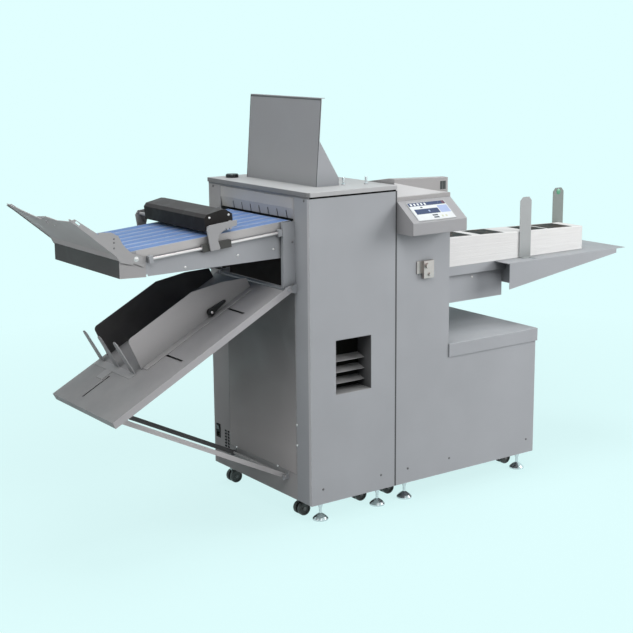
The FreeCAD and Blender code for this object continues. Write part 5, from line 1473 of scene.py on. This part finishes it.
@dataclass
class PressCarriage:
    """Sliding carriage with the press rollers and their housing."""

    end_screws: tuple[tuple[float, float], ...] = ((-0.7205, 1.094), (-0.6485, 1.098))
    block_half: float = 0.0122
    block_span: tuple[float, float] = (-0.316, 0.107)

    def build(self, shop: Workshop) -> None:
        """Dress the carriage and set its screws."""
        # Painted light: the housing's top faces take a lighter tone.
        housing = MouldedPlastic("housing_black", tone=(0.019, 0.016, 0.016), roughness=0.65, shine=0.16,
                                 coat=0.0, lit_top_tone=(0.085, 0.077, 0.079))
        shop.dress(housing, "press_housing")
        shop.dress(PowderCoat("hook_paint", tone=(0.42, 0.42, 0.43), roughness=0.5), "press_brackets")
        shop.dress(shop.rubber, "press_rollers")
        low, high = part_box("press_housing")
        shop.fasten("housing_screws", "press_carriage", Head(radius=0.004, drive=Drive.HEX),
                    both_sides(self.end_screws, low.y, high.y))
        self._rod_blocks(shop)

    def _rod_blocks(self, shop: Workshop) -> None:
        """Charcoal moulded jackets of the sliding blocks on the guide rods."""
        deck = Deck.of_belts()
        brackets_low, brackets_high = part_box("press_brackets")
        rods_low, rods_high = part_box("guide_rods")
        start, length = self.block_span
        hook_t, jacket, rod_width, wall, rod_drop = 0.006, 0.0004, 0.01, 0.002, 0.033
        edge_y, foot = deck.origin.y, -self.block_half - rod_drop
        mesh = bmesh.new()
        for near, far in ((brackets_low.y + hook_t - jacket, rods_low.y + rod_width + wall),
                          (rods_high.y - rod_width - wall, brackets_high.y - hook_t + jacket)):
            rim = deck.rim((start, near - edge_y), (start + length, far - edge_y), foot)
            Forge.prism(mesh, rim, deck.out * (2.0 * self.block_half))
        charcoal = PowderCoat("block_charcoal", tone=(0.07, 0.067, 0.063), roughness=0.5, dust=0.1)
        shop.keep("rod_block_jackets", mesh, [charcoal], "press_carriage", "black_plastic")


@dataclass
class CatchTray:
    """Scalloped catch tray past the belts' end."""

    arm_rivets: tuple[tuple[float, float], ...] = ((-1.0665, 1.0605), (-1.067, 1.049), (-1.0675, 1.032))
    cheek: tuple[tuple[float, float], ...] = ((-1.1215, 1.0845), (-1.0755, 1.0815), (-1.0515, 1.068),
                                              (-1.0385, 1.043), (-1.017, 1.0145), (-1.018, 0.998),
                                              (-1.06, 1.02))

    def build(self, shop: Workshop) -> None:
        """Dress the tray and set its pivot screws and rivets."""
        # Painted light: the tray's left faces take a lighter tone.
        coat = PowderCoat("powder_coat_catch", tone=(0.47, 0.47, 0.475), side_tone_and_lighting=(0.66, 0.625, 0.63),
                          wear=0.12)
        shop.dress(coat, "catch_tray")
        low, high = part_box("catch_tray")
        pivot = joint_place("catch_tray_hinge")
        shop.fasten("catch_pivot_screws", "catch_tray", Head(radius=0.0055, drive=Drive.HEX, washer=True),
                    both_sides([(pivot.x, pivot.z)], low.y, high.y))
        shop.fasten("catch_rivets", "catch_tray", Head(radius=0.003, height=0.0014, drive=Drive.PLAIN),
                    [(Vector((x, low.y, z)), AHEAD) for x, z in self.arm_rivets], shop.painted, "enclosure")
        self._flange(shop, coat, pivot, low, high)
        cheeks = bmesh.new()
        for y in (low.y + 0.0001, high.y - 0.0019):
            Forge.prism(cheeks, [Vector((x, y, z)) for x, z in self.cheek], BEHIND * 0.0018)
        shop.keep("catch_cheeks", cheeks, [coat], "catch_tray",
                  "enclosure")

    def _flange(self, shop: Workshop, coat: Finish, pivot: Vector, low: Vector, high: Vector) -> None:
        """Folded flange under the leaf and the arms' lower cheeks, just over the end cap.

        Args:
            shop: finishes and maker of pieces.
            coat: the tray's own coat.
            pivot: the tray's pivot.
            low: low corner of the tray's box.
            high: high corner of the tray's box.
        """
        cap_low, cap_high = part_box("end_cap")
        rim = Vector((cap_low.x, 0.0, cap_high.z))
        inset, sheet, clear = 0.0021, 0.0018, 0.0006
        crease = Vector((pivot.x - 0.0695, low.y + inset, pivot.z + 0.02))
        foot = Vector((rim.x - 0.0012, low.y + inset, rim.z + clear))
        width = BEHIND * (high.y - low.y - 2.0 * inset)
        mesh = bmesh.new()
        Forge.prism(mesh, [crease, crease + width, foot + width, foot], RIGHT * sheet)
        cheek = [(crease.x, crease.z), (foot.x - 0.001, foot.z), (rim.x + 0.004, rim.z - 0.006),
                 (pivot.x - 0.012, pivot.z - 0.018), (pivot.x - 0.004, pivot.z - 0.004),
                 (pivot.x - 0.04, pivot.z + 0.024)]
        for y in (low.y + 0.0001, high.y - sheet - 0.0001):
            Forge.prism(mesh, [Vector((x, y, z)) for x, z in cheek], BEHIND * sheet)
        shop.keep("catch_flange", mesh, [coat], "catch_tray", "enclosure")


@dataclass
class LowerTray:
    """Sloping lower tray with its sheet guides, end stop, clamp lever and strut."""

    channels: tuple[tuple[Point, Point], ...] = (
        ((-0.43, 0.04), (-0.38, 0.222)), ((-0.16, 0.04), (-0.11, 0.222)), ((-0.7, 0.268), (-0.55, 0.345)))
    blade_middles: tuple[float, ...] = (0.188, 0.298, 0.406)
    blade_half: float = 0.017
    blade_height: float = 0.131
    blade_lean: float = 0.004
    stop_along: float = -0.534
    stop_foot: tuple[Point, Point] = ((-0.559, 0.168), (-0.531, 0.426))
    stop_tongue: tuple[Point, Point] = ((-0.602, 0.292), (-0.558, 0.334))
    bar_half: float = 0.008
    strut_foot: tuple[float, float, float] = (-0.4215, 0.0, 0.16)

    def build(self, shop: Workshop) -> None:
        """Dress the tray and what slides on it."""
        # Painted light: the tray's near faces take a lighter tone.
        coat = PowderCoat("powder_coat_tray", tone=(0.385, 0.38, 0.388), side_tone_and_lighting=(0.5, 0.495, 0.51),
                          side=(0.0, -1.0, 0.0), dust=0.2)
        shop.dress(coat, "lower_tray", "end_stop")
        # Painted shade: the near guide's left faces are darker.
        shop.dress(PowderCoat("powder_coat_cheek", tone=(0.5, 0.49, 0.495), side_tone_and_lighting=(0.2, 0.198, 0.2)),
                   "tray_guide_near")
        shop.dress(BlackPaint("guide_black", tone=(0.085, 0.08, 0.08), roughness=0.6), "tray_guide_far")
        shop.dress(MouldedPlastic("lever_black", tone=(0.012, 0.012, 0.013), roughness=0.3), "clamp_lever")
        self._channels(shop, coat)
        self._fingers(shop)
        self._strut(shop)
        boss = joint_place("clamp_lever_turn")
        boss.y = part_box("clamp_lever")[0].y
        shop.fasten("lever_screw", "clamp_lever", Head(radius=0.0045, drive=Drive.HEX), [(boss, AHEAD)])

    def _channels(self, shop: Workshop, coat: Finish) -> None:
        """Shallow stiffening channels under the tray's slots.

        Args:
            shop: finishes and maker of pieces.
            coat: the tray's own coat.
        """
        deck = Deck.of_tray()
        mesh = bmesh.new()
        foot, sheet = -0.0148, 0.0008
        for low, high in self.channels:
            Forge.prism(mesh, deck.rim(low, high, foot), deck.out * sheet)
            for along in (low[0], high[0]):
                side = [deck.at(along, across, foot) for across in (low[1], high[1])]
                side += [point + deck.out * (-foot - 0.0021) for point in reversed(side)]
                Forge.prism(mesh, side, deck.along * sheet)
        shop.keep("slot_channels", mesh, [coat], "lower_tray",
                  "enclosure")

    def _fingers(self, shop: Workshop) -> None:
        """End stop: flat foot with its tongue, and three round-topped blades that lean outwards."""
        deck = Deck.of_tray()
        mesh = bmesh.new()
        sheet, lift, bar_t = 0.0015, 0.0002, 0.0026
        for low, high in (self.stop_foot, self.stop_tongue):
            Forge.prism(mesh, deck.rim(low, high, lift), deck.out * sheet)
        half, top, steps = self.blade_half, self.blade_height, 12
        lean = -self.blade_lean / top
        crown, cap = top - half * 0.8, half * 0.8
        for middle in self.blade_middles:
            outline = [(middle - half, sheet), (middle + half, sheet)]
            for step in range(steps + 1):
                turn = math.pi * step / steps
                outline.append((middle + cap * math.cos(turn), crown + cap * math.sin(turn)))
            Forge.prism(mesh, [deck.at(self.stop_along + lean * off, across, off) for across, off in outline],
                        deck.along * bar_t)
        pale = PowderCoat("powder_coat_stop", tone=(0.47, 0.47, 0.48), wear=0.9)
        shop.keep("end_stop_blades", mesh, [pale], "end_stop",
                  "enclosure", "end_stop")

    def _strut(self, shop: Workshop) -> None:
        """Slim strut: two flat bars with round ends, a cross tube and the foot rod."""
        low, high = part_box("tray_strut")
        link = joint_place("strut_pivot")
        reach = Vector(self.strut_foot) - link
        reach.y = 0.0
        along = reach.normalized()
        across = along.cross(BEHIND)
        half, thick, hook, rod_radius = self.bar_half, 0.004, 0.006, 0.004
        tube_along, tube_radius = 0.075, 0.006
        steps = 8
        mesh = bmesh.new()
        outline = []
        for centre, start in ((link, math.pi / 2.0), (link + reach, -math.pi / 2.0)):
            for step in range(steps + 1):
                turn = start + math.pi * step / steps
                outline.append(centre + along * (half * math.cos(turn)) + across * (half * math.sin(turn)))
        gap = 0.001
        near, far = low.y + hook + gap, high.y - hook - gap - thick
        for index, y in enumerate((near, far)):
            with Forge.coated(mesh, index):
                Forge.prism(mesh, [Vector((p.x, y, p.z)) for p in outline], BEHIND * thick)
        tube = (link + along * tube_along, near + gap, far + thick - gap, tube_radius)
        for centre, start, end, radius in (tube, (link + reach, low.y, high.y, rod_radius)):
            Forge.turned(mesh, [(0.0, 0.0), (radius, 0.0), (radius, end - start), (0.0, end - start)],
                         Vector((centre.x, start, centre.z)), BEHIND, 20)
        pale = PowderCoat("strut_coat_near", tone=(0.54, 0.53, 0.535))
        # Painted shade: the far bar is a dark copy of the strut's coat.
        painted_shade = PowderCoat("strut_coat_far_shaded", tone=(0.13, 0.13, 0.132))
        shop.dress(pale, "tray_strut")
        shop.keep("strut_bars", mesh, [pale, painted_shade], "tray_strut", "enclosure", "tray_strut")


@dataclass
class Feeder:
    """Feeder cabinet and column with the latch, the cover and its sight window."""

    front_screw_x: tuple[float, ...] = (0.0155, 0.2115, 0.6005)
    front_screw_z: float = 0.137
    face_in: float = 0.016
    window_in: float = 0.0345
    window_rise: float = 0.025
    panes: tuple[tuple[float, float], ...] = ((0.0, 0.011), (0.0125, 0.0255))
    pane_height: float = 0.029
    pane_thickness: float = 0.0012
    cover_rise: float = 0.014
    housing_depth: float = 0.43
    fairing_rise: float = 0.048

    def build(self, shop: Workshop) -> None:
        """Dress the cabinet and set its fittings."""
        shop.dress(shop.coat, "feeder_front", "feeder_carcass", "cabinet_lid")
        self._transfer_cover(shop)
        shop.dress(PolishedMetal("latch_nickel", tone=(0.46, 0.39, 0.375), roughness=0.36), "door_latch")
        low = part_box("feeder_front")[0]
        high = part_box("feeder_carcass")[1]
        front = [(Vector((x, low.y, self.front_screw_z)), AHEAD) for x in self.front_screw_x]
        inset = 0.025
        right = [(Vector((high.x, y, z)), RIGHT) for y in (low.y + inset, high.y - inset)
                 for z in (self.front_screw_z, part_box("cabinet_lid")[0].z - inset)]
        back = [(Vector((x, high.y, self.front_screw_z)), BEHIND) for x in self.front_screw_x]
        shop.fasten("feeder_screws", "machine", Head(), right + back)
        shop.fasten("feeder_front_screws", "machine", Head(), front, shop.painted, "enclosure")
        self._sight_window(shop)

    def _transfer_cover(self, shop: Workshop) -> None:
        """Column cover: flat sheet and the transfer housing with its rear slope, then its fairing."""
        low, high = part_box("column_cover")
        left, right = low.x, high.x
        deck_z, rear_y = low.z + self.cover_rise, low.y + self.housing_depth
        face_y, ridge_y = low.y + self.face_in, low.y + 0.046
        mesh = bmesh.new()
        Forge.plate(mesh, (left, low.y, low.z), (right, high.y, deck_z))
        end = right + 0.0015
        rows = [[Vector((x, face_y, deck_z)), Vector((x, face_y, top)), Vector((x, ridge_y, top)),
                 Vector((x, rear_y, deck_z))] for x, top in ((left + 0.002, high.z), (end, high.z - 0.009))]
        near, far = ([mesh.verts.new(point) for point in row] for row in rows)
        mesh.faces.new(near)
        mesh.faces.new(far)
        for index in range(4):
            beside = (index + 1) % 4
            mesh.faces.new((near[index], near[beside], far[beside], far[index]))
        # Painted shade: the cover's near faces are darker.
        cover = PowderCoat("powder_coat_cover", tone=(0.52, 0.515, 0.52), side_tone_and_lighting=(0.455, 0.44, 0.44),
                           side=(0.0, -1.0, 0.0))
        shop.dress(cover, "column_cover")
        shop.keep("transfer_cover", mesh, [cover], "machine", "enclosure", "column_cover", soften=0.0012)
        self._fairing(shop, low, high)

    def _fairing(self, shop: Workshop, low: Vector, high: Vector) -> None:
        """Sheet that falls from the housing's face to the cover's edge, lower towards the right.

        Args:
            shop: finishes and maker of pieces.
            low: low corner of the cover's box.
            high: high corner of the cover's box.
        """
        fairing = bmesh.new()
        steps, skin, end_gap = 16, 0.0002, 0.0005
        face_y, foot_z, deck_z = low.y + self.face_in - skin, low.z + 0.001, low.z + self.cover_rise + 0.0004
        rise, foot, base = [], [], []
        for step in range(steps + 1):
            share = step / steps
            x = low.x + end_gap + (high.x - low.x - 2.0 * end_gap) * share
            height = self.fairing_rise * (1.0 - share) ** 1.15
            rise.append(fairing.verts.new((x, face_y, deck_z + height)))
            foot.append(fairing.verts.new((x, low.y - skin, foot_z)))
            base.append(fairing.verts.new((x, face_y, foot_z)))
        for index in range(steps):
            beside = index + 1
            fairing.faces.new((foot[index], foot[beside], rise[beside], rise[index]))
            fairing.faces.new((rise[index], rise[beside], base[beside], base[index]))
            fairing.faces.new((base[index], base[beside], foot[beside], foot[index]))
        fairing.faces.new((foot[0], rise[0], base[0]))
        fairing.faces.new((foot[-1], rise[-1], base[-1]))
        pale = PowderCoat("fairing_coat", tone=(0.7, 0.7, 0.705), roughness=0.5, wear=0.15)
        shop.keep("transfer_fairing", fairing, [pale], "machine",
                  "enclosure")

    def _sight_window(self, shop: Workshop) -> None:
        """Dark sight window near the right end of the transfer housing, with its mullion."""
        low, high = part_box("column_cover")
        face_y = low.y + self.face_in
        left, foot = high.x - self.window_in, low.z + self.window_rise
        mesh = bmesh.new()
        for start, end in self.panes:
            Forge.plate(mesh, (left + start, face_y - 0.0005, foot),
                        (left + end, face_y + self.pane_thickness, foot + self.pane_height))
        glass = SmoothGloss("sight_glass", tone=(0.006, 0.005, 0.005), roughness=0.4, coat=0.1)
        shop.keep("sight_window", mesh, [glass], "machine",
                  "black_plastic")


@dataclass(frozen=True)
class Tile:
    """One field of the touch display, in shares of the screen's width and height."""

    hue: str
    low: tuple[float, float]
    high: tuple[float, float]
    layer: int = 1


@dataclass
class Console:
    """Sloping console with its touch display."""

    layer_t: float = 0.0001
    hues: dict[str, Colour] = field(default_factory=lambda: {
        "glass": (0.7, 0.72, 0.74), "navy": (0.022, 0.028, 0.12), "pale_blue": (0.42, 0.5, 0.78),
        "white": (0.84, 0.86, 0.88), "ink": (0.02, 0.02, 0.05), "lime": (0.66, 0.68, 0.5),
        "wine": (0.12, 0.02, 0.06)})

    def build(self, shop: Workshop) -> None:
        """Dress the console and lay out the display."""
        # Painted shade: the console's left faces are darker.
        console = PowderCoat("powder_coat_console", tone=(0.42, 0.42, 0.435), side_tone_and_lighting=(0.37, 0.365, 0.375))
        shop.dress(console, "console_housing")
        shop.dress(SmoothGloss("screen_glass", tone=self.hues["glass"]), "touch_screen")
        facet = Facet.of("touch_screen", (UP + AHEAD * 0.6).normalized())
        mesh = bmesh.new()
        order = list(self.hues)
        for tile in self._layout():
            with Forge.coated(mesh, order.index(tile.hue)):
                Forge.tile(mesh, facet, tile.low, tile.high, self.layer_t * (tile.layer - 1), self.layer_t)
        finishes = [SmoothGloss("display_" + hue, tone, roughness=0.14) for hue, tone in self.hues.items()]
        shop.keep("screen_display", mesh, finishes, "machine", "screen")

    def _layout(self) -> list[Tile]:
        """Fields of the display: header with icons, job panel, status area and keys."""
        tiles = [Tile("white", (0.0, 0.0), (1.0, 1.0)),
                 Tile("navy", (0.01, 0.8), (0.99, 0.99), 2),
                 Tile("wine", (0.91, 0.8), (0.99, 0.99), 3),
                 Tile("pale_blue", (0.72, 0.34), (0.98, 0.74), 2),
                 Tile("navy", (0.07, 0.34), (0.7, 0.62), 2),
                 Tile("pale_blue", (0.42, 0.44), (0.46, 0.54), 3)]
        icon_gap, line_gap, key_gap = 0.092, 0.12, 0.1
        tiles += [Tile("white", (0.06 + index * icon_gap, 0.83), (0.108 + index * icon_gap, 0.95), 3)
                  for index in range(5)]
        tiles += [Tile("ink", (0.44, 0.08 + index * line_gap), (0.58, 0.15 + index * line_gap), 2)
                  for index in range(2)]
        tiles += [Tile("lime", (0.66 + index * key_gap, 0.1), (0.71 + index * key_gap, 0.2), 2)
                  for index in range(2)]
        return tiles + [Tile("ink", (0.27, 0.68), (0.33, 0.74), 2)]


@dataclass
class FeedTable:
    """Lift table, its extension, side guides and the pile of sheets."""

    layers: int = 40
    drift: float = 0.0009
    rail_screw_x: tuple[float, ...] = (0.4745, 0.2)
    rail_screw_z: float = 0.758
    marker_z: float = 1.029
    fields: tuple[tuple[float, float], ...] = ((0.0, 0.19), (0.205, 0.385), (0.43, 0.56), (0.69, 0.8),
                                               (0.812, 0.955))

    def build(self, shop: Workshop) -> None:
        """Dress the table and build the pile."""
        shop.dress(shop.coat, "feed_table", "feed_extension")
        shop.dress(PowderCoat("powder_coat_guide", tone=(0.46, 0.48, 0.485)), "side_guide_near")
        # Painted shade: the far guide is a darker copy of the near guide's coat.
        shop.dress(PowderCoat("powder_coat_far_guide_shaded", tone=(0.27, 0.3, 0.285)), "side_guide_far")
        shop.dress(shop.rubber, "feed_drum")
        self._sheets(shop)
        self._screws(shop)
        self._sensor(shop)

    def _sheets(self, shop: Workshop) -> None:
        """Layers of sheets, each a little out of line, with proof prints on the top one."""
        low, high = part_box("paper_stack")
        tail_drop, trim = 0.026, 0.001
        step = (high.z - low.z) / self.layers
        mesh = bmesh.new()
        for index in range(self.layers):
            share = index / self.layers
            share_top = (index + 1) / self.layers
            slip = [shop.chance.uniform(-self.drift, self.drift) for _ in range(3)]
            feed_z = (low.z + index * step, low.z + (index + 1) * step)
            tail_z = (feed_z[0] - tail_drop * share, feed_z[1] - tail_drop * share_top)
            x0, x1 = low.x + trim + slip[0], high.x - trim + slip[1]
            y0, y1 = low.y + trim + slip[2], high.y - trim + slip[2]
            side = [Vector((x0, y0, feed_z[0])), Vector((x1, y0, tail_z[0])),
                    Vector((x1, y0, tail_z[1])), Vector((x0, y0, feed_z[1]))]
            Forge.prism(mesh, side, BEHIND * (y1 - y0))
        shop.keep("sheet_pile", mesh, [PaperEdges("paper_white")], "feed_table", "paper", "paper_stack")
        self._prints(shop, low, high, tail_drop)

    def _prints(self, shop: Workshop, low: Vector, high: Vector, tail_drop: float) -> None:
        """Ink blocks on the top sheet, with white margins between them."""
        margin, ink_t = 0.009, 0.00015
        slope = tail_drop / (high.x - low.x)
        mesh = bmesh.new()
        for start, end in self.fields:
            x0 = low.x + margin + (high.x - low.x - 2.0 * margin) * start
            x1 = low.x + margin + (high.x - low.x - 2.0 * margin) * end
            z0, z1 = high.z - slope * (x0 - low.x), high.z - slope * (x1 - low.x)
            side = [Vector((x0, low.y + margin, z0)), Vector((x1, low.y + margin, z1)),
                    Vector((x1, low.y + margin, z1 + ink_t)), Vector((x0, low.y + margin, z0 + ink_t))]
            Forge.prism(mesh, side, BEHIND * (high.y - low.y - 2.0 * margin))
        shop.keep("proof_prints", mesh, [PrintedInk("proof_ink")], "feed_table", "paper")

    def _screws(self, shop: Workshop) -> None:
        """Hex screws on the table's near side rail."""
        beam_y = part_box("feed_table")[0].y + 0.02
        places = [(Vector((x, beam_y, self.rail_screw_z)), AHEAD) for x in self.rail_screw_x]
        shop.fasten("table_screws", "feed_table", Head(radius=0.005, drive=Drive.HEX), places)

    def _sensor(self, shop: Workshop) -> None:
        """Green position marker near the top of the far guide."""
        low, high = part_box("side_guide_far")
        centre = Vector(((low.x + high.x) / 2.0, low.y, self.marker_z))
        mesh = bmesh.new()
        Forge.turned(mesh, [(0.011, -0.0002), (0.011, 0.0004), (0.0095, 0.0009), (0.0, 0.0009)], centre,
                     AHEAD, 28)
        green = SmoothGloss("marker_green", tone=(0.1, 0.36, 0.2), roughness=0.3, coat=0.2)
        shop.keep("guide_marker", mesh, [green], "side_guide_far",
                  "enclosure")


@dataclass
class Undercarriage:
    """Swivel castors with twin wheels, fixed mounts and levelling feet."""

    places: tuple[str, ...] = ("tower_left", "tower_right", "feeder_left", "feeder_right")
    rows: tuple[str, ...] = ("front", "rear")
    gap: float = 0.005
    axle_radius: float = 0.004

    def build(self, shop: Workshop) -> None:
        """Dress the mounts and turn every pair of wheels."""
        shop.dress(shop.zinc, "castor_mounts")
        shop.dress(shop.chrome, "levelling_feet")
        shop.dress(shop.plastic, *("castor_leg_" + place for place in self.places))
        for place in self.places:
            for row in self.rows:
                self._wheels(shop, "wheels_%s_%s" % (place, row))

    def _wheels(self, shop: Workshop, node: str) -> None:
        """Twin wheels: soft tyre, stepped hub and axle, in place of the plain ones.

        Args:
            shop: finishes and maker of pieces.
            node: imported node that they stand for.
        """
        low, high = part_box(node)
        middle = (low + high) / 2.0
        radius = (high.z - low.z) / 2.0
        half = (high.y - low.y) / 2.0
        inner = self.gap
        width = half - inner
        tyre = [(radius * 0.62, 0.0), (radius * 0.94, 0.0), (radius, width * 0.16), (radius, width * 0.84),
                (radius * 0.94, width), (radius * 0.74, width), (radius * 0.7, width * 0.8),
                (radius * 0.62, width * 0.8)]
        hub = [(radius * 0.62, width * 0.1), (radius * 0.62, width * 0.8), (radius * 0.3, width * 0.7),
               (radius * 0.26, width * 0.96), (radius * 0.2, width), (0.0, width)]
        mesh = bmesh.new()
        for side in (AHEAD, BEHIND):
            foot = middle + side * inner
            Forge.turned(mesh, tyre, foot, side, 48)
            with Forge.coated(mesh, 1):
                Forge.turned(mesh, hub, foot, side, 48)
        axle = [(self.axle_radius, 0.0), (self.axle_radius, 2.0 * inner)]
        with Forge.coated(mesh, 1):
            Forge.turned(mesh, axle, middle + BEHIND * -inner, BEHIND, 16)
        tread = GroundRubber("tyre_rubber", tone=(0.05, 0.046, 0.045), roughness=0.42)
        core = MouldedPlastic("hub_grey", tone=(0.22, 0.215, 0.215), roughness=0.42)
        name = node.replace("wheels", "castor_wheels")
        shop.keep(name, mesh, [tread, core], node, "roller_rubber", node)


# ---------------------------------------------------------------- studio


@dataclass(frozen=True)
class Softbox:
    """Round soft light: where it stands, how strong and how large it is."""

    name: str
    direction: tuple[float, float, float]
    level: float
    size: float = 3.0


@dataclass
class Studio:
    """Floor, soft lights, pale surroundings and the camera."""

    softboxes: tuple[Softbox, ...] = (
        Softbox("right_front_softbox", (0.75, -0.6, 0.3), 0.54),
        Softbox("overhead_softbox", (0.0, 0.05, 1.0), 0.42),
        Softbox("front_left_softbox", (-0.35, -0.6, 0.72), 0.26),
        Softbox("left_softbox", (-0.8, -0.1, 0.6), 0.22),
        Softbox("front_softbox", (0.05, -0.95, 0.3), 0.1),
    )

    backdrop: Colour = (0.753, 1.0, 1.0)
    ambient: Colour = (0.02, 0.02, 0.021)
    floor_grey: Colour = (0.5, 0.5, 0.505)
    floor_radius: float = 30.0
    shadow_share: float = 0.16
    light_distance: float = 5.5
    light_aim: tuple[float, float, float] = (0.0, 0.0, 0.7)
    camera_place: tuple[float, float, float] = (-2.9116, -3.8172, 1.6772)
    camera_yaw: float = 35.5
    camera_pitch: float = 12.06
    camera_roll: float = -0.47
    focal_pixels: float = 1339.7
    image_pixels: float = 633.0
    sensor: float = 36.0

    def build(self) -> None:
        """Make the surroundings, the lights and the camera."""
        self._world()
        self._floor()
        self._lights()
        self._camera()
        bpy.context.scene.view_settings.view_transform = "Standard"

    def _sees_backdrop(self, graph: Graph) -> Any:
        """Mask of the rays that see the backdrop instead of its light."""
        path = graph.node("LightPath")
        mirrored = graph.math("MAXIMUM", path.outputs["Is Glossy Ray"], path.outputs["Is Transmission Ray"])
        return graph.math("MAXIMUM", path.outputs["Is Camera Ray"], mirrored)

    def _world(self) -> None:
        """Pale world for the eye and an even grey one for the light."""
        world = bpy.data.worlds.new("studio_world")
        bpy.context.scene.world = world
        world.use_nodes = True
        world.node_tree.nodes.clear()
        graph = Graph(world.node_tree)
        seen = graph.node("Background", {"Color": rgba(self.backdrop), "Strength": 1.0})
        lit = graph.node("Background", {"Color": rgba(self.ambient), "Strength": 1.0})
        both = graph.node("MixShader", {0: self._sees_backdrop(graph), 1: lit.outputs[0],
                                        2: seen.outputs[0]})
        graph.node("OutputWorld", {"Surface": both.outputs[0]})

    def _floor(self) -> None:
        """Round floor that keeps a soft shadow near the machine and fades into the backdrop."""
        mesh = bmesh.new()
        steps = 96
        rim = [mesh.verts.new((self.floor_radius * math.cos(math.tau * i / steps),
                               self.floor_radius * math.sin(math.tau * i / steps), 0.0))
               for i in range(steps)]
        mesh.faces.new(rim)
        floor = bpy.data.materials.new("studio_floor")
        floor.use_nodes = True
        floor.node_tree.nodes.clear()
        graph = Graph(floor.node_tree)
        glow = graph.node("Emission", {"Color": rgba(self.backdrop), "Strength": 1.0})
        grey = graph.node("BsdfDiffuse", {"Color": rgba(self.floor_grey)})
        shown = graph.node("BsdfDiffuse", {"Color": rgba(self.backdrop)})
        length = graph.node("VectorMath", {0: graph.own_place()}, operation="LENGTH").outputs["Value"]
        near = graph.fit(length, 1.2, 3.4, self.shadow_share, 0.0)
        stage = graph.node("MixShader", {0: near, 1: glow.outputs[0], 2: shown.outputs[0]})
        both = graph.node("MixShader", {0: self._sees_backdrop(graph), 1: grey.outputs[0],
                                        2: stage.outputs[0]})
        graph.node("OutputMaterial", {"Surface": both.outputs[0]})
        Forge.finish("studio_floor", mesh, [floor])

    def _lights(self) -> None:
        """Soft round lights that all aim at the machine's middle."""
        for box in self.softboxes:
            lamp = bpy.data.lights.new(box.name, "AREA")
            lamp.shape = "DISK"
            lamp.size = box.size
            lamp.energy = box.level * math.pi ** 2 * self.light_distance ** 2
            holder = bpy.data.objects.new(box.name, lamp)
            bpy.context.scene.collection.objects.link(holder)
            aim = Vector(box.direction).normalized()
            holder.location = Vector(self.light_aim) + aim * self.light_distance
            holder.rotation_euler = aim.to_track_quat("Z", "Y").to_euler()

    def _camera(self) -> None:
        """Camera at the viewing angle, with the lens that its field of view asks for."""
        yaw, pitch, roll = (math.radians(a) for a in (self.camera_yaw, self.camera_pitch, self.camera_roll))
        ahead = Vector((math.sin(yaw) * math.cos(pitch), math.cos(yaw) * math.cos(pitch), -math.sin(pitch)))
        level = Vector((math.cos(yaw), -math.sin(yaw), 0.0))
        upward = level.cross(ahead)
        right = level * math.cos(roll) + upward * math.sin(roll)
        top = upward * math.cos(roll) - level * math.sin(roll)
        data = bpy.data.cameras.new("studio_camera")
        data.sensor_width = self.sensor
        data.lens = self.focal_pixels / self.image_pixels * self.sensor
        camera = bpy.data.objects.new("studio_camera", data)
        bpy.context.scene.collection.objects.link(camera)
        axes = Matrix((right, top, -ahead)).transposed().to_4x4()
        camera.matrix_world = Matrix.Translation(Vector(self.camera_place)) @ axes
        bpy.context.scene.camera = camera


def main() -> None:
    """Build every sub-assembly in order, then the studio."""
    logging.basicConfig(level=logging.INFO, format="%(message)s")
    shop = Workshop()
    for assembly in (Tower(), Lid(), Delivery(), PressCarriage(), CatchTray(), LowerTray(), Feeder(),
                     Console(), FeedTable(), Undercarriage()):
        LOG.info("building %s", type(assembly).__name__)
        assembly.build(shop)
    LOG.info("building the studio")
    Studio().build()


if __name__ == "__main__":
    main()
